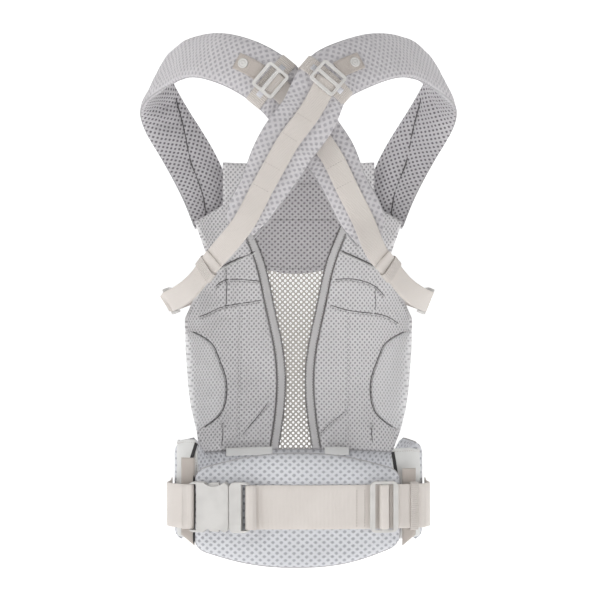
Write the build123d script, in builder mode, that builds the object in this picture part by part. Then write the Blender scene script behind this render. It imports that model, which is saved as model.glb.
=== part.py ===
"""Soft baby carrier, in the shape it has when worn.

+X is towards the wearer's right-hand side as seen from behind, +Y towards the baby
in front, +Z up.  The origin is the middle of the wearer's waist, at belt height.
All lengths are in millimetres.
"""
from build123d import *
import os

os.makedirs("parts", exist_ok=True)

# ---------------------------------------------------------------- driving dimensions
WAIST_WEB = 50.0            # width of the waist webbing
STRAP_WEB = 25.0            # width of the shoulder webbing
WEB_T = 2.0                 # thickness of both webbings
AIR = 0.4                   # air left between pieces that only lie together

PANEL_A, PANEL_B = 138.0, 125.0     # half-axes of the panel's curve round the baby
PANEL_T = 5.0                       # padded panel fabric
MESH_T = 2.0                        # open spacer mesh
FLAP_FOLD_Z = 333.0                 # fold line of the head support
FLAP_HALF = 62.0                    # half width of the part that folds
PANEL_TOP_Z = 402.0
PANEL_BOTTOM_Z = 50.0
WINDOW_TOP_Z = 271.0
HOURGLASS_X = -4.0                  # the see-through window hangs a little off centre
STRIP_W = 11.0                      # binding strips beside the window

BELT_T = 16.0                       # padded front waist belt
COVER_T = 2.0                       # spacer fabric round every pad
LUMBAR_R = 400.0                    # radius of the lumbar pad's curve
LUMBAR_Y = -100.0                   # middle layer of the lumbar pad at its centre
LUMBAR_T = 16.0

PAD_T = 14.0                        # shoulder pads
DEPTH = 260.0                       # longer than the carrier is deep

LEFT, RIGHT = -1, 1


def save(piece, name):
    """Label a finished part and write its file."""
    piece.label = name
    export_step(piece, f"parts/{name}.step")


def mirrored(points, side, centre=0.0):
    """Points drawn for the right-hand side, put on the given side."""
    return [(centre + side * x, *rest) for x, *rest in points]


def ring_of_lines(*corners):
    """Closed run of straight lines through the corners, as pairs of points."""
    return [[start, end] for start, end in zip(corners, corners[1:] + corners[:1])]


def front_view(*runs):
    """Face in the X-Z plane: a run of two points is a line, of three an arc, else a curve."""
    with BuildSketch(Plane.XZ) as face:
        with BuildLine():
            for run in runs:
                if len(run) == 2:
                    Line(*run)
                elif len(run) == 3:
                    ThreePointArc(*run)
                else:
                    Spline(*run)
        make_face()
    return face.sketch


def curved_sheet(half_x, half_y, thick, face, centre_y=0.0, reach=DEPTH, start_y=0.0, heights=None):
    """Sheet cut from an upright elliptical wall by a face seen along Y.

    A negative reach takes the wall behind start_y, a positive one the wall in front.
    """
    bounds = face.bounding_box()
    low, high = heights or (bounds.min.Z - 1, bounds.max.Z + 1)
    with BuildPart() as sheet:
        with BuildSketch(Plane.XY.offset(low)):
            with Locations((0, centre_y)):
                Ellipse(half_x + thick / 2, half_y + thick / 2)
                Ellipse(half_x - thick / 2, half_y - thick / 2, mode=Mode.SUBTRACT)
        extrude(amount=high - low)
        extrude(face.moved(Location((0, start_y, 0))), amount=-reach, mode=Mode.INTERSECT)
    return sheet.part


def panel_sheet(thick, *runs, heights=None):
    """Piece of the panel that goes round the baby."""
    return curved_sheet(PANEL_A, PANEL_B, thick, front_view(*runs), heights=heights)


# ---------------------------------------------------------------- panel
SEAM_Z = FLAP_FOLD_Z - AIR
# half width of the see-through window, and of the neck panel above it, at each height
WINDOW = [
    (60, SEAM_Z),
    (36, WINDOW_TOP_Z),
    (28, 234),
    (15, 172),
    (12, 135),
    (14, 98),
    (21, PANEL_BOTTOM_Z),
]
WINDOW_EDGE = [(x + STRIP_W, z) for x, z in WINDOW]

window = {side: mirrored(WINDOW, side, HOURGLASS_X) for side in (LEFT, RIGHT)}
strip_edge = {side: mirrored(WINDOW_EDGE, side, HOURGLASS_X) for side in (LEFT, RIGHT)}
between_strips = (
    window[LEFT],
    [window[LEFT][-1], window[RIGHT][-1]],
    window[RIGHT][::-1],
    [window[RIGHT][0], window[LEFT][0]],
)

# see-through mesh from the seat to the neck
centre_mesh = panel_sheet(MESH_T, *between_strips, heights=(0, WINDOW_TOP_Z))
save(centre_mesh, "centre_mesh")

# dotted neck panel above the window
neck_panel = panel_sheet(PANEL_T, *between_strips, heights=(WINDOW_TOP_Z, PANEL_TOP_Z))
save(neck_panel, "neck_panel")

# head support, which folds outwards about its lower edge
head_support = panel_sheet(
    PANEL_T + 1,
    *ring_of_lines(
        (-FLAP_HALF, FLAP_FOLD_Z),
        (FLAP_HALF, FLAP_FOLD_Z),
        (FLAP_HALF, PANEL_TOP_Z),
        (-FLAP_HALF, PANEL_TOP_Z),
    ),
)
save(head_support, "head_support")

THIGH_SEAM = [(134, 198), (117, 189), (101, 167), (92, 142), (91, 112), (105, 88), (122, 77)]
THIGH_RIM = [(122, 77), (128, 114), (132, 172), (134, 198)]
HEM_Z = 294.0                       # top of the side panel beside the strip
HEM = [(90, 276), (112, 262), (124, 240), (134, 212)]
BELT_CORNER_X = 113.0
# outer edge of a strap anchor, from its top down round the end of the shoulder pad to the hem
ANCHOR_RIM = [(92, PANEL_TOP_Z), (92, 350), (124, 328), (112, 291), (92, 279)]
THIGH_T = 9.0

for side, name in ((LEFT, "left"), (RIGHT, "right")):
    # binding strip along the window
    strip = panel_sheet(
        PANEL_T + 1,
        window[side],
        [window[side][-1], strip_edge[side][-1]],
        strip_edge[side][::-1],
        [strip_edge[side][0], window[side][0]],
    )
    save(strip, f"binding_strip_{name}")

    # side panel from the hem to the waist belt, cut out round the thigh
    strip_top_x, strip_top_z = strip_edge[side][0]
    hem = [(HOURGLASS_X + side * 53, HEM_Z)] + mirrored(HEM, side)
    seam = mirrored(THIGH_SEAM, side)
    belt_corner = (side * BELT_CORNER_X, PANEL_BOTTOM_Z)
    beyond = HOURGLASS_X - side * 20
    inside_strip = front_view(
        strip_edge[side],
        [strip_edge[side][-1], (beyond, PANEL_BOTTOM_Z)],
        [(beyond, PANEL_BOTTOM_Z), (beyond, strip_top_z)],
        [(beyond, strip_top_z), strip_edge[side][0]],
    )
    with BuildPart() as side_panel:
        add(panel_sheet(
            PANEL_T,
            hem,
            [hem[-1], seam[0]],
            seam,
            [seam[-1], belt_corner],
            [belt_corner, (beyond, PANEL_BOTTOM_Z)],
            [(beyond, PANEL_BOTTOM_Z), (beyond, HEM_Z)],
            [(beyond, HEM_Z), hem[0]],
        ))
        extrude(inside_strip, amount=-DEPTH, mode=Mode.SUBTRACT)
    save(side_panel.part, f"side_panel_{name}")

    # padded roll round the thigh opening
    thigh_pad = panel_sheet(THIGH_T, seam, mirrored(THIGH_RIM, side))
    save(thigh_pad, f"thigh_pad_{name}")

    # anchor panel that carries the end of the shoulder pad
    with BuildPart() as anchor:
        add(panel_sheet(
            PANEL_T,
            *ring_of_lines(
                (side * (FLAP_HALF + AIR), PANEL_TOP_Z),
                *mirrored(ANCHOR_RIM, side),
                (side * 44, HEM_Z + 6),
                (side * 44, SEAM_Z),
                (side * (FLAP_HALF + AIR), SEAM_Z),
            ),
        ))
        extrude(inside_strip, amount=-DEPTH, mode=Mode.SUBTRACT)
    save(anchor.part, f"strap_anchor_{name}")

# ---------------------------------------------------------------- waist belt and lumbar pad
BELT_TOP_Z = PANEL_BOTTOM_Z - AIR
BELT_PEAK = [(BELT_CORNER_X + 3, BELT_TOP_Z), (126, 68), (150, 64)]
BELT_FOOT = [(150, -40), (110, -56), (0, -62), (-110, -56), (-150, -40)]
BELT_ENDS_Y = -15.0                 # the front belt stops here, beside the wearer's hips
LUMBAR_TOP = [(-116, 40), (-2, 60), (112, 40)]
LUMBAR_FOOT = [(118, -43), (0, -69), (-118, -49)]
LUMBAR_CENTRE_Y = LUMBAR_Y + LUMBAR_R


def padded(name, sheet, face, thick):
    """Cover and foam of a pad: a hollow shell of fabric, and what fills it."""
    inner = offset(face, amount=-COVER_T)
    core = offset(face, amount=-COVER_T - AIR)
    with BuildPart() as cover:
        add(sheet(face, thick))
        add(sheet(inner, thick - 2 * COVER_T), mode=Mode.SUBTRACT)
    save(cover.part, f"{name}_cover")
    save(sheet(core, thick - 2 * COVER_T - 2 * AIR), f"{name}_foam")


def belt_sheet(face, thick):
    """Layer of the front belt, from hip to hip round the front."""
    inset = (BELT_T - thick) / 2
    return curved_sheet(PANEL_A, PANEL_B, thick, face, start_y=BELT_ENDS_Y + inset)


def lumbar_sheet(face, thick):
    """Layer of the lumbar pad across the small of the back."""
    return curved_sheet(LUMBAR_R, LUMBAR_R, thick, face, LUMBAR_CENTRE_Y, reach=-DEPTH)


belt_face = front_view(
    *ring_of_lines(
        *mirrored(BELT_PEAK[::-1], LEFT),
        *BELT_PEAK,
        *BELT_FOOT,
    ),
)
lumbar_face = front_view(
    LUMBAR_TOP,
    [LUMBAR_TOP[-1], LUMBAR_FOOT[0]],
    LUMBAR_FOOT,
    [LUMBAR_FOOT[-1], LUMBAR_TOP[0]],
)
padded("waistbelt", belt_sheet, belt_face, BELT_T)
padded("lumbar", lumbar_sheet, lumbar_face, LUMBAR_T)


def upright_band(path, thick, low, high):
    """Band that stands on edge along a path seen from above."""
    with BuildPart() as band:
        with BuildSketch(Plane.XY.offset(low)):
            with BuildLine():
                Spline(*path)
            trace(line_width=thick)
        extrude(amount=high - low)
    return band.part


def lumbar_arc(radius, x):
    """Point at sideways distance x on an arc round the lumbar pad's own centre."""
    return x, LUMBAR_CENTRE_Y - (radius ** 2 - x ** 2) ** 0.5


WING = [(140, -16), (137, -42), (124, -62), (108, -71)]
WING_T = 5.0
WING_TOP = {LEFT: 74.0, RIGHT: 64.0}
WING_FOOT_Z = -40.0
PATCH_TOP = {LEFT: 54.0, RIGHT: 42.0}
PATCH_FOOT_Z = -46.0
PATCH_X = 119.0, 134.0
SEAT_TAB_X = {LEFT: (32.0, 88.0), RIGHT: (32.0, 62.0)}

for side, name in ((LEFT, "left"), (RIGHT, "right")):
    wing = upright_band(mirrored(WING, side), WING_T, WING_FOOT_Z, WING_TOP[side])
    save(wing, f"belt_wing_{name}")

    patch_face = front_view(*ring_of_lines(
        (side * PATCH_X[0], PATCH_FOOT_Z),
        (side * PATCH_X[1], PATCH_FOOT_Z + 12),
        (side * PATCH_X[1], PATCH_TOP[side]),
        (side * PATCH_X[0], PATCH_TOP[side]),
    ))
    save(lumbar_sheet(patch_face, WEB_T), f"lumbar_patch_{name}")

    # small fabric tab on top of the belt that sets the seat width
    tab_start, tab_end = SEAT_TAB_X[side]
    tab_face = front_view(*ring_of_lines(
        (side * tab_start, PANEL_BOTTOM_Z - 6),
        (side * tab_end, PANEL_BOTTOM_Z - 6),
        (side * tab_end, PANEL_BOTTOM_Z + 4),
        (side * tab_start, PANEL_BOTTOM_Z + 4),
    ))
    inner_face = -BELT_T - WEB_T - 2 * AIR
    seat_tab = curved_sheet(PANEL_A + inner_face / 2, PANEL_B + inner_face / 2, WEB_T, tab_face)
    save(seat_tab, f"seat_tab_{name}")


# ---------------------------------------------------------------- bands along a route
def across(edges):
    """Stations of a band from its edge points: the middle, and the vector edge to edge."""
    return [((Vector(a) + Vector(b)) / 2, Vector(b) - Vector(a)) for a, b in edges]


def swapped(edges, side):
    """Edge points drawn for the right-hand side, on the given side, outer face kept out."""
    if side == RIGHT:
        return [(neck, arm) for arm, neck in edges]
    return [tuple((-x, y, z) for x, y, z in pair) for pair in edges]


def station_planes(stations):
    """One plane per station: x across the band, y out of its outer face, z along it."""
    planes = []
    for index, (middle, width) in enumerate(stations):
        before = stations[max(index - 1, 0)][0]
        after = stations[min(index + 1, len(stations) - 1)][0]
        planes.append(Plane(origin=middle, x_dir=width, z_dir=after - before))
    return planes


def pad_loft(planes, widths, thicks, inset=0.0):
    """Padded band with rounded edges through its stations."""
    with BuildPart() as pad:
        for plane, width, thick in zip(planes, widths, thicks):
            with BuildSketch(plane):
                RectangleRounded(width - 2 * inset, thick - 2 * inset, 0.42 * (thick - 2 * inset))
        loft(ruled=True)
    return pad.part


def web_loft(planes, width, thick=WEB_T):
    """Flat webbing through its stations."""
    with BuildPart() as web:
        for plane in planes:
            with BuildSketch(plane):
                Rectangle(width, thick)
        loft(ruled=True)
    return web.part


def seat(plane, height, along=0.0):
    """Plane lying on a band: x along it, z out of its outer face, at a height above it."""
    origin = plane.origin + plane.y_dir * height + plane.z_dir * along
    return Plane(origin=origin, x_dir=plane.z_dir, z_dir=plane.y_dir)


# ---------------------------------------------------------------- shoulder pads
# arm-side and neck-side edge points, from the panel up over the shoulder
SHOULDER = [
    ((126, 76, 322), (74, 124, 330)),
    ((138, 84, 352), (84, 122, 366)),
    ((154, 90, 384), (98, 118, 403)),
    ((170, 92, 412), (115, 112, 434)),
    ((185, 82, 438), (134, 104, 464)),
    ((190, 60, 462), (152, 90, 496)),
    ((176, 28, 476), (158, 62, 518)),
    ((152, -8, 487), (142, 25, 536)),
    ((128, -48, 492), (110, -22, 543)),
    ((100, -80, 485), (76, -68, 538)),
]
# the same for the two ends that cross over the back, the right one on top
BACK = {
    LEFT: [
        ((74, -93, 473), (44, -87, 526)),
        ((48, -97, 455), (13, -95, 507)),
        ((26, -98, 431), (-22, -98, 473)),
        ((8, -99, 410), (-43, -99, 439)),
        ((-12, -100, 384), (-61, -100, 411)),
        ((-34, -101, 347), (-77, -101, 371)),
        ((-56, -102, 307), (-95, -102, 329)),
        ((-67, -102, 294), (-93, -102, 309)),
    ],
    RIGHT: [
        ((74, -99, 473), (44, -93, 526)),
        ((48, -111, 455), (13, -109, 507)),
        ((33, -119, 418), (-11, -118, 466)),
        ((14, -122, 392), (-33, -122, 436)),
        ((-2, -123, 366), (-52, -123, 401)),
        ((-22, -123, 340), (-66, -123, 365)),
        ((-44, -121, 310), (-77, -121, 333)),
        ((-52, -120, 301), (-74, -120, 317)),
    ],
}
TAB_STATION = len(SHOULDER)         # the snap tab sits where the back part begins
LOCK_STATION = TAB_STATION + 1
END_THICKS = [8.0, 11.0]


class Pad:
    """Shoulder pad: the planes of its stations, and its width and thickness at each."""

    def __init__(self, side):
        stations = across(swapped(SHOULDER + BACK[side], side))
        self.planes = station_planes(stations)
        self.widths = [width.length for _, width in stations]
        self.thicks = END_THICKS + [PAD_T] * (len(stations) - 4) + END_THICKS[::-1]

    def layer(self, proud):
        """The pad's own shape, standing proud of its surface, or inside it if negative."""
        return pad_loft(self.planes, self.widths, self.thicks, -proud)


pads = {side: Pad(side) for side in (LEFT, RIGHT)}
for side, name in ((LEFT, "left"), (RIGHT, "right")):
    with BuildPart() as cover:
        add(pads[side].layer(0))
        add(pads[side].layer(-COVER_T), mode=Mode.SUBTRACT)
    save(cover.part, f"shoulder_cover_{name}")
    save(pads[side].layer(-COVER_T - AIR), f"shoulder_foam_{name}")

# ---------------------------------------------------------------- side-release buckles
class BuckleSize:
    """Sizes of a side-release buckle, worked out from its webbing and its shell."""

    def __init__(self, web, width, thick, female, male, bar):
        self.web = web              # webbing width
        self.width = width          # shell width
        self.thick = thick          # shell thickness
        self.female = female        # length of the socket half
        self.male = male            # length of the plug half outside the socket
        self.bar = bar              # thickness and length of the webbing bars
        self.slot = 2 * WEB_T + 2   # length of the webbing slots
        self.mouth = 0.55 * thick   # height of the socket
        self.pocket = 0.6 * female  # depth of the socket


def webbing_bar(size, end_x, inward):
    """What is cut from a half so that a webbing bar is left at its end."""
    start = end_x + inward * size.bar
    with BuildPart(mode=Mode.PRIVATE) as cut:
        with Locations((start + inward * size.slot / 2, 0, 0)):
            Box(size.slot, size.web + 2, 2 * size.thick)
        for face in (-1, 1):
            with Locations((end_x, 0, face * (size.bar / 2 + size.thick))):
                Box(2 * size.bar, size.web + 2, 2 * size.thick)
    return cut.part


def buckle_female(size):
    """Socket half, from its webbing bar at -X to its mouth at X = 0."""
    with BuildPart() as female:
        with BuildSketch():
            with Locations((-size.female / 2, 0)):
                RectangleRounded(size.female, size.width, 0.12 * size.width)
        extrude(amount=size.thick / 2, both=True)
        rims = female.edges().filter_by(Plane.XY).group_by(Axis.Z)
        fillet(rims[0] + rims[-1], 0.12 * size.thick)
        with Locations((-size.pocket / 2 + 1, 0, 0)):
            Box(size.pocket + 2, size.width + 2, size.mouth, mode=Mode.SUBTRACT)
        # finger cut-outs that leave the ends of the prongs in reach
        scoop = 0.3 * size.width
        with BuildSketch(Plane.XY.offset(-size.thick)):
            with Locations(*((-0.62 * size.pocket, y * (size.width / 2 + 0.7 * scoop)) for y in (-1, 1))):
                Circle(scoop)
        extrude(amount=2 * size.thick, mode=Mode.SUBTRACT)
        add(webbing_bar(size, -size.female, 1), mode=Mode.SUBTRACT)
    return female.part


def buckle_male(size):
    """Plug half without its prongs: the shoulder, the guide tongue and the webbing bar."""
    guide = 0.8 * size.pocket
    with BuildPart() as male:
        with BuildSketch():
            with Locations((AIR + size.male / 2, 0)):
                RectangleRounded(size.male, size.width, 0.12 * size.width)
        extrude(amount=0.45 * size.thick, both=True)
        rims = male.edges().filter_by(Plane.XY).group_by(Axis.Z)
        fillet(rims[0] + rims[-1], 0.1 * size.thick)
        with Locations((AIR - guide / 2 + 1, 0, 0)):
            Box(guide + 2, 0.2 * size.width, size.mouth - 2 * AIR)
        add(webbing_bar(size, AIR + size.male, -1), mode=Mode.SUBTRACT)
    return male.part


def buckle_prong(size, side):
    """Springy arm whose thick end is pressed in to let the plug out."""
    root = 0.3 * size.width
    arm = 0.06 * size.width
    rim = size.width / 2
    shape = [
        (0, root - arm / 2),
        (0, root + arm / 2),
        (-0.34 * size.pocket, root + 0.9 * arm),
        (-0.42 * size.pocket, rim - 0.6),
        (-0.78 * size.pocket, rim - 1.2),
        (-0.93 * size.pocket, root + arm),
        (-0.93 * size.pocket, root - 0.2 * arm),
        (-0.4 * size.pocket, root - 0.3 * arm),
    ]
    with BuildPart() as prong:
        with BuildSketch():
            with BuildLine():
                Polyline(*[(x, side * y) for x, y in shape], close=True)
            make_face()
        extrude(amount=size.mouth / 2 - AIR, both=True)
        fillet(prong.edges().filter_by(Axis.Z), 0.012 * size.width)
    return prong.part


def layer_height(size):
    """Height of a webbing layer's middle above or below the middle of its bar."""
    return (size.bar + WEB_T) / 2 + AIR


def bar_turn(size, bar_x, away, reach):
    """Webbing that comes from one side, goes round a bar and returns the same way.

    away is the side, +1 or -1 along X, that both of its layers run off to.
    """
    height = layer_height(size)
    far = bar_x + away * reach
    near = bar_x - away * height
    with BuildPart() as turn:
        with BuildSketch(Plane.XZ.offset(-size.web / 2)):
            with BuildLine():
                FilletPolyline(
                    (far, -height),
                    (near, -height),
                    (near, height),
                    (far, height),
                    radius=0.45 * height,
                )
            trace(line_width=WEB_T)
        extrude(amount=size.web)
    return turn.part


def placed(piece, plane):
    """A piece drawn about the origin, put on its plane."""
    return plane.location * piece


WAIST_BUCKLE = BuckleSize(WAIST_WEB, 57.0, 13.0, 47.0, 24.0, 4.0)
SIDE_BUCKLE = BuckleSize(STRAP_WEB, 32.0, 9.5, 31.0, 18.0, 3.0)


# ---------------------------------------------------------------- fittings on the shoulder pads
LOCK_LENGTH, LOCK_WIDTH, LOCK_T = 30.0, 34.0, 3.0
LOCK_BAR = 4.0
BAND_LENGTH, BAND_T = 20.0, 1.2
STRIPE_LENGTH, STRIPE_T = 7.0, 0.4
TAB_LENGTH, TAB_WIDTH, TAB_T = 26.0, 20.0, 1.5
SNAP_R, SNAP_T = 6.0, 2.0
PAD_GAP = 1.2                       # webbing stands this far off the pads


def bar_plate(length, width, thick, bar, web):
    """Flat adjuster plate with two webbing slots either side of a middle bar."""
    slot = (length - 3 * bar) / 2
    with BuildPart() as plate:
        with BuildSketch():
            RectangleRounded(length, width, 0.12 * width)
            with Locations(*((x * (slot + bar) / 2, 0) for x in (-1, 1))):
                RectangleRounded(slot, web + 2, 1, mode=Mode.SUBTRACT)
        extrude(amount=thick / 2, both=True)
        rims = plate.edges().filter_by(Plane.XY).group_by(Axis.Z)
        fillet(rims[0] + rims[-1], 0.2 * thick)
    return plate.part


def lifted(plane, height):
    """A station's plane moved out of the band's outer face."""
    return Plane(origin=plane.origin + plane.y_dir * height, x_dir=plane.x_dir, z_dir=plane.z_dir)


band_top = PAD_T / 2 + AIR + BAND_T + STRIPE_T
lock_height = band_top + 2 * AIR + WEB_T + LOCK_T / 2

for side, name in ((LEFT, "left"), (RIGHT, "right")):
    pad = pads[side]
    plane = pad.planes[LOCK_STATION]
    width = pad.widths[LOCK_STATION]

    # elastic band round the pad, with a reflective stripe across its outer face
    with BuildPart() as band:
        add(pad.layer(AIR + BAND_T))
        add(pad.layer(AIR), mode=Mode.SUBTRACT)
        with BuildSketch(plane.offset(-BAND_LENGTH / 2)):
            Rectangle(2 * width, 4 * PAD_T)
        extrude(amount=BAND_LENGTH, mode=Mode.INTERSECT)
    save(band.part, f"keeper_band_{name}")
    with BuildPart() as stripe:
        add(pad.layer(AIR + BAND_T + STRIPE_T))
        add(pad.layer(AIR + BAND_T), mode=Mode.SUBTRACT)
        with BuildSketch(plane.offset(-STRIPE_LENGTH / 2)):
            with Locations((0, PAD_T)):
                Rectangle(0.75 * width, 2 * PAD_T)
        extrude(amount=STRIPE_LENGTH, mode=Mode.INTERSECT)
    save(stripe.part, f"reflective_stripe_{name}")

    lock = bar_plate(LOCK_LENGTH, LOCK_WIDTH, LOCK_T, LOCK_BAR, STRAP_WEB)
    save(placed(lock, seat(plane, lock_height)), f"ladder_lock_{name}")

    # fabric tab sewn to the pad, with its press-stud cap
    tab_plane = seat(pad.planes[TAB_STATION], PAD_T / 2 + 1, 2)
    with BuildPart() as tab:
        with BuildSketch(tab_plane):
            RectangleRounded(TAB_LENGTH, TAB_WIDTH, 2)
        extrude(amount=TAB_T)
    save(tab.part, f"snap_tab_{name}")
    with BuildPart() as cap:
        with BuildSketch(tab_plane.offset(TAB_T)):
            with Locations((-4, 0)):
                Circle(SNAP_R)
        extrude(amount=SNAP_T)
    save(cap.part, f"snap_cap_{name}")

# ---------------------------------------------------------------- shoulder webbing
# middle and upward width of the free webbing, from the end of the pad to the side buckle
FREE_WEBBING = [
    ((88, -117, 288), (0.80, 0.15, 0.58)),
    ((104, -101, 269), (0.50, 0.40, 0.76)),
    ((120, -85, 250), (0.50, 0.40, 0.76)),
    ((137, -58, 238), (0.45, 0.15, 0.86)),
]
KEEPER_STATION = 1                  # the elastic keeper sits at this free station
KEEPER_LENGTH, KEEPER_T = 14.0, 1.2
BUCKLE_MOUTH = (151, 14, 233)       # mouth of the side buckle's socket
BUCKLE_OUT = (0.93, 0, -0.37)       # its outer face looks this way
TAIL_LIFT = WEB_T + 0.3             # the webbing's tail lies this far above it
TURN_REACH = 9.0                    # straight webbing beside a buckle's bar
ANCHOR_REACH = 6.0
ANCHOR_BEND = [(-44, -5), (-58, -15), (-74, -31)]


def to_side(point, side):
    return Vector(side * point[0], point[1], point[2])


for side, name in ((LEFT, "left"), (RIGHT, "right")):
    # the strap over one shoulder ends at the buckle on the other side of the waist
    pad = pads[side]
    far_name = "right" if name == "left" else "left"
    origin = to_side(BUCKLE_MOUTH, -side)
    buckle_plane = Plane(origin=origin, x_dir=(0, -1, 0), z_dir=to_side(BUCKLE_OUT, -side))
    bar_x = AIR + SIDE_BUCKLE.male - SIDE_BUCKLE.bar / 2
    height = layer_height(SIDE_BUCKLE)

    on_pad = []
    for step, plane in enumerate(pad.planes[LOCK_STATION:-1]):
        rise = PAD_T / 2 + WEB_T / 2 + max(PAD_GAP, BAND_T + STRIPE_T + 2 * AIR - step)
        on_pad.append(lifted(plane, rise))
    free = [(to_side(middle, -side), to_side(width, -side) * -side) for middle, width in FREE_WEBBING]
    free_planes = station_planes([(on_pad[-1].origin, on_pad[-1].x_dir)] + free)[1:]
    turn_start = Plane(
        origin=buckle_plane.from_local_coords(Vector(bar_x + TURN_REACH, 0, -height)),
        x_dir=buckle_plane.y_dir * side,
        z_dir=-buckle_plane.x_dir,
    )
    keeper_plane = free_planes[KEEPER_STATION]
    tail_end = keeper_plane.offset(-KEEPER_LENGTH)
    tail_planes = [lifted(plane, TAIL_LIFT) for plane in [tail_end] + free_planes[KEEPER_STATION:]]
    with BuildPart() as webbing:
        add(web_loft(on_pad + free_planes + [turn_start], STRAP_WEB))
        add(web_loft(tail_planes + [lifted(turn_start, 2 * height)], STRAP_WEB))
        add(placed(bar_turn(SIDE_BUCKLE, bar_x, 1, TURN_REACH), buckle_plane))
    save(webbing.part, f"strap_webbing_{name}")

    # elastic keeper round the webbing and its tail
    with BuildPart() as keeper:
        with BuildSketch(keeper_plane.offset(-KEEPER_LENGTH / 2)):
            with Locations((0, TAIL_LIFT / 2)):
                inner = (STRAP_WEB + 2, 2 * WEB_T + 3)
                Rectangle(inner[0] + 2 * KEEPER_T, inner[1] + 2 * KEEPER_T)
                Rectangle(*inner, mode=Mode.SUBTRACT)
        extrude(amount=KEEPER_LENGTH)
    save(keeper.part, f"strap_keeper_{name}")

    save(placed(buckle_female(SIDE_BUCKLE), buckle_plane), f"side_buckle_female_{far_name}")
    save(placed(buckle_male(SIDE_BUCKLE), buckle_plane), f"side_buckle_male_{far_name}")
    for edge, edge_name in ((1, "upper"), (-1, "lower")):
        prong = placed(buckle_prong(SIDE_BUCKLE, edge * side), buckle_plane)
        save(prong, f"side_buckle_prong_{edge_name}_{far_name}")

    # short webbing that holds the socket half to the side panel
    anchor_bar = -SIDE_BUCKLE.female + SIDE_BUCKLE.bar / 2
    anchor_start = (anchor_bar - ANCHOR_REACH, -height)
    with BuildPart() as anchor_web:
        add(bar_turn(SIDE_BUCKLE, anchor_bar, -1, ANCHOR_REACH))
        with BuildSketch(Plane.XZ.offset(-STRAP_WEB / 2)):
            with BuildLine():
                Spline(anchor_start, *ANCHOR_BEND, tangents=[(-1, 0), (-1, -1)])
            trace(line_width=WEB_T)
        extrude(amount=STRAP_WEB)
    save(placed(anchor_web.part, buckle_plane), f"anchor_webbing_{far_name}")


# ---------------------------------------------------------------- waist webbing and buckle
WEB_R = LUMBAR_R + LUMBAR_T / 2 + 2 * AIR + WEB_T / 2  # webbing's curve over the lumbar pad
BUCKLE_X = -78.0                    # mouth of the waist buckle's socket
BUCKLE_R = LUMBAR_R + LUMBAR_T / 2 + WAIST_BUCKLE.thick / 2 + 2 * AIR
GLIDE_X = 97.0                      # middle of the adjuster on the right
GLIDE_LENGTH, GLIDE_WIDTH, GLIDE_T, GLIDE_BAR = 33.0, 58.0, 3.0, 6.0
GLIDE_R = WEB_R + WEB_T + TAIL_LIFT + GLIDE_T / 2 + AIR
TAIL_END_X = 144.0
HIP_END = [(149.5, -70), (149, -46), (148.5, -18), (149.5, 8)]
WAIST_KEEPER_X = 131.0
WAIST_KEEPER_LENGTH = 10.0


def on_lumbar(radius, x):
    """Plane tangent to the lumbar curve: x along the waist to the right, z outwards."""
    point = Vector(*lumbar_arc(radius, x))
    outwards = point - Vector(0, LUMBAR_CENTRE_Y)
    return Plane(origin=point, x_dir=(-outwards.Y, outwards.X, 0), z_dir=outwards)


def waist_band(side, bar_x, plane, lumbar_xs=()):
    """Waist webbing that goes round a bar of the buckle, over the lumbar pad and round one hip.

    lumbar_xs are the sideways distances at which it lies on the pad.
    """
    height = layer_height(WAIST_BUCKLE)
    far = bar_x + side * TURN_REACH
    near = bar_x - side * height
    corners = [(far, -height), (near, -height), (near, height), (far, height)]
    turn = [plane.from_local_coords(Vector(x, 0, z)) for x, z in corners]
    on_pad = [lumbar_arc(WEB_R, x) for x in lumbar_xs]
    path = [(turn[0].X, turn[0].Y)] + on_pad + mirrored(HIP_END, side)
    along = plane.x_dir * side
    with BuildPart() as band:
        with BuildSketch(Plane.XY.offset(-WAIST_WEB / 2)):
            with BuildLine():
                Spline(*path, tangents=[(along.X, along.Y), (side * 0.1, 1)])
                FilletPolyline(*[(point.X, point.Y) for point in turn], radius=0.45 * height)
            trace(line_width=WEB_T)
        extrude(amount=WAIST_WEB)
    return band.part


buckle_plane = on_lumbar(BUCKLE_R, BUCKLE_X)
save(placed(buckle_female(WAIST_BUCKLE), buckle_plane), "waist_buckle_female")
save(placed(buckle_male(WAIST_BUCKLE), buckle_plane), "waist_buckle_male")
for edge, name in ((1, "upper"), (-1, "lower")):
    prong = placed(buckle_prong(WAIST_BUCKLE, edge), buckle_plane)
    save(prong, f"waist_buckle_prong_{name}")

female_bar = -WAIST_BUCKLE.female + WAIST_BUCKLE.bar / 2
male_bar = WAIST_BUCKLE.male + AIR - WAIST_BUCKLE.bar / 2
save(waist_band(LEFT, female_bar, buckle_plane), "waist_webbing_left")

glide_plane = on_lumbar(GLIDE_R, GLIDE_X)
glide = bar_plate(GLIDE_LENGTH, GLIDE_WIDTH, GLIDE_T, GLIDE_BAR, WAIST_WEB)
save(placed(glide, glide_plane), "waist_glide")

loop_inner = GLIDE_BAR + 2 * AIR, GLIDE_T + 2 * AIR
tail_face = front_view(*ring_of_lines(
    (GLIDE_X + GLIDE_BAR, -WAIST_WEB / 2),
    (TAIL_END_X, -WAIST_WEB / 2),
    (TAIL_END_X, WAIST_WEB / 2),
    (GLIDE_X + GLIDE_BAR, WAIST_WEB / 2),
))
tail_r = WEB_R + TAIL_LIFT
with BuildPart() as right_webbing:
    add(waist_band(RIGHT, male_bar, buckle_plane, lumbar_xs=range(-14, 140, 19)))
    add(curved_sheet(tail_r, tail_r, WEB_T, tail_face, LUMBAR_CENTRE_Y, reach=-DEPTH))
save(right_webbing.part, "waist_webbing_right")

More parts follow.
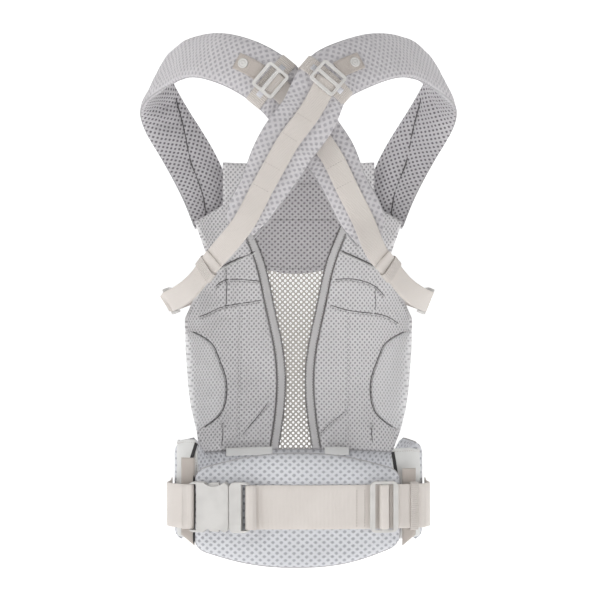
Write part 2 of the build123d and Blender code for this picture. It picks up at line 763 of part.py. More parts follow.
# the webbing's turn over the middle bar of the adjuster
with BuildPart() as turn:
    with BuildSketch(Plane.XZ.offset(-WAIST_WEB / 2)):
        RectangleRounded(loop_inner[0] + 2 * WEB_T, loop_inner[1] + 2 * WEB_T, 2.4)
        RectangleRounded(*loop_inner, 0.8, mode=Mode.SUBTRACT)
        with Locations((0, -loop_inner[1] - WEB_T)):
            Rectangle(3 * GLIDE_LENGTH, 2 * loop_inner[1], mode=Mode.SUBTRACT)
    extrude(amount=WAIST_WEB)
save(placed(turn.part, glide_plane), "waist_webbing_turn")

keeper_plane = on_lumbar(WEB_R + TAIL_LIFT / 2, WAIST_KEEPER_X)
inner = WAIST_WEB + 2, 2 * WEB_T + 3
with BuildPart() as waist_keeper:
    with BuildSketch(Plane.YZ.offset(-WAIST_KEEPER_LENGTH / 2)):
        Rectangle(inner[0] + 2 * KEEPER_T, inner[1] + 2 * KEEPER_T)
        Rectangle(*inner, mode=Mode.SUBTRACT)
    extrude(amount=WAIST_KEEPER_LENGTH)
save(placed(waist_keeper.part, keeper_plane), "waist_keeper")
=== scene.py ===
"""Looks of the soft baby carrier: padded fabric, webbing, plastic, light and camera.

Shapes are worked out in millimetres in the CAD frame and written to the meshes in metres.
"""
import math

import bmesh
import bpy
import numpy as np
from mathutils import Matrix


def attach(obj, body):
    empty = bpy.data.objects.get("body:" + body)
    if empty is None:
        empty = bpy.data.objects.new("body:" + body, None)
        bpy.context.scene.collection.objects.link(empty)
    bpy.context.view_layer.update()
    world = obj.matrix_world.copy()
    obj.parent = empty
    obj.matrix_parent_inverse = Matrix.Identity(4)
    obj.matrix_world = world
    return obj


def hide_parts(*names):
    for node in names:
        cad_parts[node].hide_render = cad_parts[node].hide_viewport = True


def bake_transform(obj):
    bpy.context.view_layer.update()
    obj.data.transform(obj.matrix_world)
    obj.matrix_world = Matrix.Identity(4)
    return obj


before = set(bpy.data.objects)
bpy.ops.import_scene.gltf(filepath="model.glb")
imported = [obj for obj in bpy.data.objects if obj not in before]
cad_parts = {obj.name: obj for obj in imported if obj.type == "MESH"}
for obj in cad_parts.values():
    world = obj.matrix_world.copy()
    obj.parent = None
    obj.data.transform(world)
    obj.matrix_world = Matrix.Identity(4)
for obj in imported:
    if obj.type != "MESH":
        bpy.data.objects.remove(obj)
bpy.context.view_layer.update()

MM = 0.001
LEFT, RIGHT = -1, 1
SIDES = ((LEFT, "left"), (RIGHT, "right"))
UP = np.array((0.0, 0.0, 1.0))


# ---------------------------------------------------------------- curves and surfaces
def smooth(knots, values):
    """Natural cubic curve through values, numbers or points, at rising knots."""
    knots = np.array(knots, float)
    values = np.array(values, float)
    last = len(knots) - 1
    gap = np.diff(knots)
    system = np.eye(last + 1)
    target = np.zeros(values.shape)
    for i in range(1, last):
        system[i, i - 1:i + 2] = gap[i - 1], 2 * (gap[i - 1] + gap[i]), gap[i]
        target[i] = 6 * ((values[i + 1] - values[i]) / gap[i] - (values[i] - values[i - 1]) / gap[i - 1])
    bend = np.linalg.solve(system, target)

    def at(t):
        t = np.clip(np.asarray(t, float), knots[0], knots[-1])
        i = np.clip(np.searchsorted(knots, t) - 1, 0, last - 1)
        shape = t.shape + (1,) * (values.ndim - 1)
        step = gap[i].reshape(shape)
        a = (knots[i + 1] - t).reshape(shape) / step
        b = 1 - a
        straight = a * values[i] + b * values[i + 1]
        return straight + ((a ** 3 - a) * bend[i] + (b ** 3 - b) * bend[i + 1]) * step ** 2 / 6

    return at


def through(points, spacing):
    """Points about spacing apart on a smooth curve through the given ones."""
    points = np.array(points, float)
    reach = np.concatenate([[0], np.cumsum(np.linalg.norm(np.diff(points[:, :3], axis=0), axis=1))])
    count = max(2, int(reach[-1] / spacing) + 1)
    return smooth(reach, points)(np.linspace(0, reach[-1], count))


def unit(vectors):
    return vectors / np.maximum(np.linalg.norm(vectors, axis=-1, keepdims=True), 1e-9)


def run_length(points):
    """Distance from the first point to each point."""
    return np.concatenate([[0], np.cumsum(np.linalg.norm(np.diff(points, axis=0), axis=1))])


def soft_step(value, low, high):
    t = np.clip((value - low) / (high - low), 0, 1)
    return t * t * (3 - 2 * t)


def ripple(s, z, waves):
    """Sum of slow waves, each (wavelength, direction in degrees, phase, height)."""
    total = np.zeros(np.shape(s))
    for length, direction, phase, height in waves:
        turn = math.radians(direction)
        total += height * np.sin((s * math.cos(turn) + z * math.sin(turn)) * 2 * math.pi / length + phase)
    return total


def rippled(*waves):
    """Relief of slow waves only."""
    return lambda s, z: ripple(s, z, waves)


def distance_to(line, s, z):
    """Distance of flat places (s, z) from a run of straight lines."""
    best = np.full(np.shape(s), 1e9)
    for (s0, z0), (s1, z1) in zip(line, line[1:]):
        ds, dz = s1 - s0, z1 - z0
        t = np.clip(((s - s0) * ds + (z - z0) * dz) / max(ds * ds + dz * dz, 1e-9), 0, 1)
        best = np.minimum(best, np.hypot(s - s0 - t * ds, z - z0 - t * dz))
    return best


def rounded_edge(distance, radius):
    """Share of the full thickness at a distance in from a rounded edge."""
    t = np.clip(distance / radius, 0, 1)
    return np.sqrt(t * (2 - t))


def rounded_outline(turn, width, height, power=2.5):
    """Places (across, out) on a rounded outline, at the given turns round it."""
    x = np.sign(np.cos(turn)) * np.abs(np.cos(turn)) ** (2 / power) * width / 2
    y = np.sign(np.sin(turn)) * np.abs(np.sin(turn)) ** (2 / power) * height / 2
    return np.stack([x, y], -1)


def fixed(value):
    """Edge of a grid that stays at one angle, or at one height."""
    return lambda along: value + 0 * along


class Wall:
    """Upright elliptical wall. An angle of 0 is its middle, and arcs are measured from there."""

    def __init__(self, half_x, half_y, centre_y=0.0, facing=1):
        self.half_x, self.half_y = half_x, half_y
        self.centre_y, self.facing = centre_y, facing
        self.angles = np.linspace(-math.pi, math.pi, 4001)
        middles = (self.angles[1:] + self.angles[:-1]) / 2
        steps = np.hypot(half_x * np.cos(middles), half_y * np.sin(middles)) * np.diff(self.angles)
        self.lengths = np.concatenate([[0], np.cumsum(steps)])
        self.lengths -= np.interp(0.0, self.angles, self.lengths)

    def arc(self, angle):
        return np.interp(angle, self.angles, self.lengths)

    def angle_of(self, arc):
        return np.interp(arc, self.lengths, self.angles)

    def angle_at(self, x):
        return np.arcsin(np.clip(np.asarray(x, float) / self.half_x, -1, 1))

    def outwards(self, angle):
        sideways = np.sin(angle) / self.half_x
        forwards = self.facing * np.cos(angle) / self.half_y
        return unit(np.stack([sideways, forwards, 0 * sideways], -1))

    def place(self, angle, z, out=0.0):
        """Points at a height, and a distance outside the wall's middle layer."""
        x = self.half_x * np.sin(angle)
        y = self.centre_y + self.facing * self.half_y * np.cos(angle)
        x, y, z, out = np.broadcast_arrays(x, y, z, out)
        return np.stack([x, y, z], -1) + self.outwards(angle) * out[..., None]


LUMBAR_R, LUMBAR_Y, LUMBAR_T = 400.0, 300.0, 16.0
PANEL = Wall(138, 125)
LUMBAR = Wall(LUMBAR_R, LUMBAR_R, centre_y=LUMBAR_Y, facing=-1)


# ---------------------------------------------------------------- meshes
def grid_faces(rows, columns, start=0, closed=False):
    """Quads of a grid of vertices, joined up round its columns if closed."""
    faces = []
    for i in range(rows - 1):
        for j in range(columns if closed else columns - 1):
            k = (j + 1) % columns
            corner = start + i * columns
            faces.append((corner + j, corner + k, corner + columns + k, corner + columns + j))
    return faces


def make(name, points, faces, flat, materials, body="carrier", slot=None, stands_for=(), pick=None):
    """Piece from points in mm, with its flat places as UVs, riding on a CAD body.

    pick gives each face's material from its number, where there are several.
    """
    mesh = bpy.data.meshes.new(name)
    mesh.from_pydata((np.asarray(points, float) * MM).tolist(), [], faces)
    index = np.zeros(len(mesh.loops), int)
    mesh.loops.foreach_get("vertex_index", index)
    layer = mesh.uv_layers.new(name="flat")
    layer.data.foreach_set("uv", (np.asarray(flat, float)[index] * MM).ravel())
    for material in materials if isinstance(materials, (list, tuple)) else [materials]:
        mesh.materials.append(material)
    if pick is not None:
        mesh.polygons.foreach_set("material_index", [int(pick(i)) for i in range(len(faces))])
    mesh.polygons.foreach_set("use_smooth", [True] * len(mesh.polygons))
    work = bmesh.new()
    work.from_mesh(mesh)
    bmesh.ops.dissolve_degenerate(work, edges=work.edges, dist=1e-6)
    bmesh.ops.recalc_face_normals(work, faces=work.faces)
    work.to_mesh(mesh)
    work.free()
    piece = bpy.data.objects.new(name, mesh)
    bpy.context.scene.collection.objects.link(piece)
    if body:
        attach(piece, body)
    if stands_for:
        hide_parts(*stands_for)
    return piece


def side_to_side(wall, zs, left, right, spacing):
    """Grid of angles and heights between two edges, given as angles at each height."""
    zs = np.asarray(zs, float)
    start, end = left(zs), right(zs)
    columns = max(5, int(np.max(wall.arc(end) - wall.arc(start)) / spacing) + 1)
    z, part = np.meshgrid(zs, np.linspace(0, 1, columns), indexing="ij")
    return start[:, None] + (end - start)[:, None] * part, z


def foot_to_top(angles, foot, top, rows):
    """Grid of angles and heights between two edges, given as heights at each angle."""
    part, angle = np.meshgrid(np.linspace(0, 1, rows), angles, indexing="ij")
    return angle, foot(angle) + (top(angle) - foot(angle)) * part


def shell(name, wall, grid, thick, materials, relief=None, **how):
    """Closed piece of fabric on a wall, over a grid of angles and heights.

    thick(s, z, inset) is its half thickness, where inset is the distance in from its edge,
    and relief(s, z) is added to the face that looks at the wearer.
    """
    angle, z = grid
    s = wall.arc(angle)
    inset = np.minimum(s - s[:, :1], s[:, -1:] - s)
    inset = np.minimum(inset, np.minimum(z - z[:1], z[-1:] - z))
    half = thick(s, z, inset)
    worn = half + (relief(s, z) * np.clip(inset / 3, 0, 1) if relief else 0)
    outer = wall.place(angle, z, half if wall.facing > 0 else worn)
    inner = wall.place(angle, z, -worn if wall.facing > 0 else -half)
    rows, columns = z.shape
    count = z.size
    faces = grid_faces(rows, columns)
    faces += [tuple(count + k for k in reversed(face)) for face in grid_faces(rows, columns)]
    last = (rows - 1) * columns
    rim = list(range(columns)) + [i * columns + columns - 1 for i in range(1, rows)]
    rim += [last + j for j in range(columns - 2, -1, -1)] + [i * columns for i in range(rows - 2, 0, -1)]
    for a, b in zip(rim, rim[1:] + rim[:1]):
        faces.append((b, a, count + a, count + b))
    flat = np.stack([s, z], -1).reshape(-1, 2)
    points = np.concatenate([outer.reshape(-1, 3), inner.reshape(-1, 3)])
    return make(name, points, faces, np.concatenate([flat, flat]), materials, **how)


def sweep(name, centres, across, sections, materials, closed=False, flat_start=0.0, **how):
    """Band along a curve. sections is one outline, or one per point, of (across, out) places.

    across is the direction over the band at each point; its outer face looks along
    the curve's direction crossed with it.
    """
    centres = np.asarray(centres, float)
    if closed:
        along = np.roll(centres, -1, 0) - np.roll(centres, 1, 0)
    else:
        along = np.gradient(centres, axis=0)
    along = unit(along)
    across = unit(np.broadcast_to(np.asarray(across, float), centres.shape))
    across = unit(across - along * np.sum(across * along, -1, keepdims=True))
    out = np.cross(along, across)
    sections = np.asarray(sections, float)
    if sections.ndim == 2:
        sections = np.broadcast_to(sections, (len(centres),) + sections.shape)
    points = centres[:, None] + across[:, None] * sections[..., :1] + out[:, None] * sections[..., 1:]
    rows, columns = sections.shape[:2]
    faces = grid_faces(rows, columns, closed=True)
    if closed:
        last = (rows - 1) * columns
        faces += [(last + j, last + (j + 1) % columns, (j + 1) % columns, j) for j in range(columns)]
    else:
        faces.append(tuple(range(columns)))
        faces.append(tuple(reversed(range((rows - 1) * columns, rows * columns))))
    length = flat_start + run_length(centres)
    flat = np.stack([sections[..., 0], np.broadcast_to(length[:, None], (rows, columns))], -1)
    return make(name, points.reshape(-1, 3), faces, flat.reshape(-1, 2), materials, **how)


def tape_outline(width, thick, sewn=0.0):
    """Outline of flat tape with rounded edges, pulled in by sewn at its middle."""
    half = width / 2
    edge = thick / 2
    xs = np.linspace(-half + edge, half - edge, 9)
    upper = [(x, edge - sewn * (1 - (x / half) ** 2)) for x in xs]
    turn = [(half - edge + edge * math.sin(a), edge * math.cos(a)) for a in (0.8, 1.57, 2.34)]
    lower = [(-x, -y) for x, y in upper]
    back = [(-x, -y) for x, y in turn]
    return upper + turn + lower + back


def thread(name, runs, material, radius=0.35, stitch=None, **how):
    """Thread on the surface: small stitches of the given length and gap, or one unbroken line."""
    points, faces, flat = [], [], []
    ring = 5

    def add_link(ends):
        """One closed thread through the points, thinner at both tips."""
        ends = np.asarray(ends, float)
        along = unit(np.gradient(ends, axis=0))
        helper = np.where(np.abs(along[:, 2:]) < 0.8, UP, np.array((1.0, 0.0, 0.0)))
        side = unit(np.cross(along, helper))
        top = np.cross(side, along)
        taper = np.ones(len(ends))
        taper[[0, -1]] = 0.25
        first = len(points)
        for i, end in enumerate(ends):
            for k in range(ring):
                turn = 2 * math.pi * k / ring
                offset = (side[i] * math.cos(turn) + top[i] * math.sin(turn)) * radius * taper[i]
                points.append(end + offset)
                flat.append((k, i))
        faces.extend(grid_faces(len(ends), ring, first, closed=True))
        faces.append(tuple(range(first, first + ring)))
        faces.append(tuple(reversed(range(len(points) - ring, len(points)))))

    for run in runs:
        run = np.asarray(run, float)
        reach = run_length(run)
        place = smooth(reach, run)
        if stitch is None:
            add_link(place(np.linspace(0, reach[-1], max(4, int(reach[-1] / 3)))))
            continue
        length, gap = stitch
        for at in np.arange(0, reach[-1] - length, length + gap):
            add_link(place(np.linspace(at, at + length, 4)))
    return make(name, np.array(points), faces, np.array(flat, float), material, **how)


# ---------------------------------------------------------------- materials
class Paint:
    """Node material, built up with short calls."""

    def __init__(self, name, roughness, sheen=0.0):
        self.material = bpy.data.materials.new(name)
        self.material.use_nodes = True
        self.tree = self.material.node_tree
        self.shader = self.tree.nodes["Principled BSDF"]
        self.shader.inputs["Roughness"].default_value = roughness
        self.shader.inputs["Sheen Weight"].default_value = sheen
        self.shader.inputs["Sheen Roughness"].default_value = 0.5
        self.shader.inputs["Specular IOR Level"].default_value = 0.3

    def node(self, kind, inputs=(), **settings):
        """A node with its settings and inputs, which are numbers, colours or other sockets."""
        node = self.tree.nodes.new(kind)
        for key, value in settings.items():
            setattr(node, key, value)
        for key, value in dict(inputs).items():
            if isinstance(value, bpy.types.NodeSocket):
                self.tree.links.new(value, node.inputs[key])
            else:
                node.inputs[key].default_value = value
        return node

    def sum(self, operation, a, b=0.0):
        return self.node("ShaderNodeMath", {0: a, 1: b}, operation=operation).outputs[0]

    def between(self, value, low, high, to_low=0.0, to_high=1.0):
        inputs = {"Value": value, "From Min": low, "From Max": high, "To Min": to_low, "To Max": to_high}
        return self.node("ShaderNodeMapRange", inputs, interpolation_type="SMOOTHSTEP").outputs[0]

    def noise(self, scale, detail=2.0):
        """Noise on the piece itself, scale to the metre."""
        where = self.node("ShaderNodeTexCoord").outputs["Object"]
        inputs = {"Vector": where, "Scale": scale, "Detail": detail}
        return self.node("ShaderNodeTexNoise", inputs).outputs["Fac"]

    def flat(self):
        """The two flat coordinates of the cloth, in metres."""
        where = self.node("ShaderNodeUVMap", uv_map="flat").outputs[0]
        split = self.node("ShaderNodeSeparateXYZ", {0: where})
        return split.outputs[0], split.outputs[1]

    def wave(self, value, pitch):
        """Cosine of a length, once per pitch."""
        return self.sum("COSINE", self.sum("MULTIPLY", value, 2 * math.pi / pitch))

    def mix(self, share, first, second):
        """Colour between two. The node's sockets in between are for numbers and vectors."""
        inputs = {0: share, 6: first, 7: second}
        return self.node("ShaderNodeMix", inputs, data_type="RGBA").outputs[2]

    def finish(self, colour, height, depth):
        """Sets the colour, and a bump whose full height is depth in mm."""
        self.tree.links.new(colour, self.shader.inputs["Base Color"])
        bump = self.node("ShaderNodeBump", {"Height": height, "Distance": depth * MM, "Strength": 1.0})
        self.tree.links.new(bump.outputs[0], self.shader.inputs["Normal"])
        return self.material


def tone(red, green, blue, level=1.0):
    """Linear colour from 0-255 screen values."""
    channels = []
    for value in (red, green, blue):
        share = value / 255
        linear = share / 12.92 if share <= 0.04045 else ((share + 0.055) / 1.055) ** 2.4
        channels.append(linear * level)
    return (*channels, 1.0)


def spacer_mesh(name, light, dark, pitch, row, size=(-0.35, 0.75)):
    """Spacer fabric with staggered diamond dimples, pitch apart and row to row in mm."""
    paint = Paint(name, 0.82, sheen=0.25)
    u, v = paint.flat()
    wobble = paint.sum("MULTIPLY", paint.sum("SUBTRACT", paint.noise(55, 1), 0.5), 0.0016)
    u = paint.sum("DIVIDE", paint.sum("ADD", u, wobble), pitch * MM)
    v = paint.sum("DIVIDE", paint.sum("ADD", v, wobble), 2 * row * MM)
    rising = paint.wave(paint.sum("ADD", u, v), 1)
    falling = paint.wave(paint.sum("SUBTRACT", u, v), 1)
    lowest = paint.sum("MINIMUM", rising, falling)
    both = paint.sum("MULTIPLY", paint.sum("ADD", rising, falling), 0.5)
    dimple = paint.between(paint.sum("MULTIPLY", paint.sum("ADD", lowest, both), 0.5), *size)
    knit = paint.noise(1900, 3)
    worn = paint.between(paint.noise(14, 3), 0.3, 0.7, 0.0, 0.16)
    shade = paint.sum("MAXIMUM", paint.sum("MULTIPLY", dimple, 0.9), worn)
    thread_tone = paint.between(knit, 0.35, 0.75, 0.0, 0.22)
    colour = paint.mix(thread_tone, paint.mix(shade, light, dark), dark)
    height = paint.sum("SUBTRACT", paint.sum("MULTIPLY", knit, 0.3), dimple)
    return paint.finish(colour, height, 0.7)


def woven(name, light, dark, rib, roughness=0.75, depth=0.22, sheen=0.15):
    """Woven tape: ribs over it, rib apart in mm, crossed by finer yarn."""
    paint = Paint(name, roughness, sheen)
    u, v = paint.flat()
    ribs = paint.wave(v, rib * MM)
    yarn = paint.wave(u, 0.8 * rib * MM)
    crossed = paint.sum("MULTIPLY", ribs, yarn)
    weave = paint.sum("ADD", paint.sum("MULTIPLY", ribs, 0.7), paint.sum("MULTIPLY", crossed, 0.5))
    fuzz = paint.noise(900, 3)
    patchy = paint.between(paint.noise(30, 3), 0.35, 0.7, 0.0, 0.3)
    # darker in the weave's furrows: painted shade in the grooves
    furrow_shade = paint.between(weave, 0.6, -0.9, 0.0, 0.2)
    share = paint.sum("ADD", furrow_shade, paint.sum("MULTIPLY", patchy, 0.5))
    colour = paint.mix(share, light, dark)
    height = paint.sum("ADD", weave, paint.sum("MULTIPLY", fuzz, 0.8))
    return paint.finish(colour, height, depth)


def moulded(name, light, dark, roughness):
    """Moulded nylon with a fine spark-eroded grain."""
    paint = Paint(name, roughness)
    grain = paint.noise(2600, 2)
    cloud = paint.between(paint.noise(45, 2), 0.3, 0.75)
    colour = paint.mix(cloud, light, dark)
    return paint.finish(colour, grain, 0.04)


def silver_film(name, light, dark):
    paint = Paint(name, 0.32)
    paint.shader.inputs["Metallic"].default_value = 0.55
    u, v = paint.flat()
    beads = paint.sum("MULTIPLY", paint.wave(u, 0.7 * MM), paint.wave(v, 0.7 * MM))
    colour = paint.mix(paint.between(paint.noise(60, 2), 0.3, 0.7), light, dark)
    return paint.finish(colour, beads, 0.03)


LUMBAR_MESH = spacer_mesh("lumbar_mesh", tone(229, 230, 234), tone(172, 173, 179), 9.4, 4.0)
STRAP_MESH = spacer_mesh("strap_mesh", tone(216, 213, 215), tone(172, 169, 174), 8.8, 3.9, (-0.45, 0.8))
# lining of the shoulder pads: the same spacer mesh with much darker dots, partly their own colour and
# partly painted shade, as the pads' inner faces lie in shadow
SHADED_STRAP_LINING = spacer_mesh("shaded_strap_lining", tone(216, 213, 216), tone(96, 93, 98), 7.6, 3.5, (-0.35, 0.7))
PANEL_MESH = spacer_mesh("panel_mesh", tone(235, 233, 234), tone(166, 164, 166), 6.4, 3.2)
# the panel's spacer mesh painted lighter for the thigh pads: painted light, where the rolled pads face
# the light
LIT_THIGH_MESH = spacer_mesh("thigh_mesh", tone(240, 239, 240), tone(190, 188, 190), 6.4, 3.2)
NECK_MESH = spacer_mesh("neck_mesh", tone(204, 201, 203), tone(124, 120, 123), 7.4, 3.4, (-0.25, 0.8))
NET = woven("open_net", tone(206, 201, 196), tone(176, 170, 164), 0.9, depth=0.12)
BINDING = woven("binding_tape", tone(222, 220, 220), tone(192, 190, 190), 1.1)
WEBBING = woven("ribbed_webbing", tone(229, 222, 216), tone(208, 200, 193), 1.5)
WAIST_WEBBING = woven("waist_webbing", tone(240, 233, 227), tone(216, 208, 201), 1.5)
SHADOW_THREAD = woven("shadow_thread", tone(92, 90, 90), tone(70, 68, 68), 0.6, depth=0.05)
ELASTIC = woven("knitted_elastic", tone(218, 211, 205), tone(186, 178, 171), 2.2, depth=0.35)
TAPE = woven("plain_tape", tone(212, 203, 196), tone(184, 174, 166), 1.2)
WING_FABRIC = woven("wing_fabric", tone(232, 232, 230), tone(206, 206, 204), 0.8, depth=0.08, sheen=0.3)
THREAD = woven("thread", tone(126, 123, 122), tone(98, 96, 95), 0.6, depth=0.05)
PALE_THREAD = woven("pale_thread", tone(200, 192, 186), tone(176, 168, 162), 0.6, depth=0.05)
PIPING = woven("piping", tone(186, 184, 186), tone(160, 158, 160), 1.0, depth=0.1)
DARK_EDGE = woven("dark_edge", tone(58, 57, 58), tone(38, 37, 38), 1.0, depth=0.1)
FILM = silver_film("reflective_film", tone(240, 240, 244), tone(206, 205, 210))
PLASTIC = moulded("buckle_nylon", tone(222, 220, 217), tone(210, 208, 205), 0.42)

# ---------------------------------------------------------------- panel round the baby
HOURGLASS_X = -4.0                  # the see-through window hangs a little off centre
STRIP_W = 11.0
WINDOW_TOP_Z, SEAT_Z = 271.0, 50.0
FOLD_Z, NECK_TOP_Z = 333.0, 402.0
WINDOW = [(332.6, 60), (271, 36), (234, 28), (172, 15), (135, 12), (98, 14), (50, 21)]
THIGH_FOOT_Z, THIGH_TOP_Z = 77.0, 198.0
THIGH_FOOT_X, THIGH_TOP_X = 122.0, 134.0
HEM_FOOT_Z, HEM_TOP_Z = 212.0, 295.0
# outlines of the panel, as (height, distance from its middle) in mm
THIGH_SEAM = [(THIGH_FOOT_Z, THIGH_FOOT_X), (88, 105), (112, 91), (142, 92), (167, 101), (189, 117),
              (THIGH_TOP_Z, THIGH_TOP_X)]
THIGH_RIM = [(THIGH_FOOT_Z, THIGH_FOOT_X), (114, 128), (172, 132), (THIGH_TOP_Z, THIGH_TOP_X)]
HEM = [(HEM_FOOT_Z, THIGH_TOP_X), (240, 124), (263, 112), (277, 90), (295.5, 50)]
BELT_CORNER = {LEFT: 119.0, RIGHT: 113.0}
PANEL_T = 5.0
SUPPORT_X = 61.8                    # half the width of the head support

window_half = smooth(*zip(*WINDOW[::-1]))
thigh_seam = smooth(*zip(*THIGH_SEAM))
thigh_rim = smooth(*zip(*THIGH_RIM))
hem = smooth(*zip(*HEM))


def beside_window(side, extra):
    """Angle of the window's edge on one side, moved outwards by extra."""
    return lambda z: PANEL.angle_at(HOURGLASS_X + side * (window_half(z) + extra))


def beside(side, line, extra):
    """Angle of one of the panel's outlines on one side, moved outwards by extra."""
    return lambda z: PANEL.angle_at(side * (line(z) + extra))


def ordered(side, inner, outer):
    """The left and right edge of a piece on one side, from its inner and outer edge."""
    return (inner, outer) if side == RIGHT else (outer, inner)


def side_panel_rim(side):
    """Outer edge of the side panel: the belt's corner, round the thigh, then up the hem."""
    def edge(z):
        low = np.interp(z, [SEAT_Z, THIGH_FOOT_Z], [BELT_CORNER[side], THIGH_FOOT_X])
        x = np.where(z < THIGH_FOOT_Z, low, thigh_seam(z))
        x = np.where(z > THIGH_TOP_Z, THIGH_TOP_X, x)
        x = np.where(z > HEM_FOOT_Z, hem(z), x)
        return PANEL.angle_at(side * x)
    return edge


# seams, as flat lines of arc length and height, for the right-hand side
POCKET_TOP = {
    LEFT: [(-112, 250), (-104, 256), (-92, 259), (-70, 259), (-48, 257)],
    RIGHT: [(44, 259), (66, 260), (92, 255), (106, 249), (118, 238)],
}
POCKET_FOOT = {
    LEFT: [(-146, 214), (-122, 219), (-100, 226), (-72, 230), (-46, 234)],
    RIGHT: [(40, 228), (66, 221), (96, 218), (124, 214), (146, 205)],
}
POCKET_SIDE = {
    LEFT: [(-96, 279), (-95, 250), (-96, 226)],
    RIGHT: [(104, 250), (103, 232), (103, 219)],
}
QUILT = {
    LEFT: [(-74, 222), (-76, 150), (-78, 64)],
    RIGHT: [(64, 218), (64, 150), (62, 60)],
}
DART = {
    LEFT: [(-72, 68), (-56, 86), (-38, 108)],
    RIGHT: [(24, 66), (42, 84), (62, 98)],
}
CORNER = {
    LEFT: [(-104, 56), (-102, 74), (-104, 86)],
    RIGHT: [(98, 60), (97, 72), (98, 84)],
}
SAG = [(52, 35, 0.4, 0.6), (37, 115, 1.9, 0.5), (24, 80, 4.1, 0.25), (90, 10, 2.2, 0.8)]


def side_relief(side):
    """Puckers and seams of a side panel, seen from the wearer."""
    seams = (POCKET_TOP[side], POCKET_FOOT[side], POCKET_SIDE[side], CORNER[side])

    def relief(s, z):
        total = ripple(s, z, SAG)
        for line in seams:
            away = distance_to(line, s, z)
            total += 1.1 * np.exp(-((away - 5) / 4) ** 2) - 1.7 * np.exp(-(away / 1.8) ** 2)
        away = distance_to(QUILT[side], s, z)
        total += 0.6 * np.exp(-((away - 6) / 4) ** 2) - 1.2 * np.exp(-(away / 3.2) ** 2)
        away = distance_to(DART[side], s, z)
        total += 1.8 * np.exp(-((away - 4.5) / 4) ** 2) - 2.2 * np.exp(-(away / 1.6) ** 2)
        return total
    return relief


def on_face(side, line, sunk=0.0):
    """Flat line put on a side panel's inner face, sunk into it a little."""
    line = through(np.array(line, float), 3.0)
    s, z = line[:, 0], line[:, 1]
    face = PANEL_T / 2 + side_relief(side)(s, z)
    return PANEL.place(PANEL.angle_of(s), z, sunk - face)


def flat_thick(thick, radius):
    """Half thickness of fabric whose edges are rounded over a radius."""
    return lambda s, z, inset: thick / 2 * (0.25 + 0.75 * rounded_edge(inset, radius))


def thigh_roll(s, z, inset):
    """Half thickness of the padding round the thigh, which thins out towards both ends."""
    ends = np.clip(np.minimum(z - THIGH_FOOT_Z, THIGH_TOP_Z - z) / 26, 0, 1)
    return 0.8 + 5.2 * rounded_edge(inset, 15) * np.sqrt(ends)


def anchor_edges(side):
    """Edges of the anchor panel, which narrows to a strip beside the head support."""
    def inner(z):
        beside_strip = HOURGLASS_X * side + window_half(z) + STRIP_W + 0.2
        low = np.maximum(np.interp(z, [276.5, 297.5], [92, 44]), beside_strip)
        return PANEL.angle_at(side * np.where(z > FOLD_Z - 0.4, SUPPORT_X + 0.6, low))

    def outer(z):
        x = np.interp(z, [279, 291, 328, 350, NECK_TOP_Z], [93, 112, 124, 92, 92])
        return PANEL.angle_at(side * x)

    return ordered(side, inner, outer)


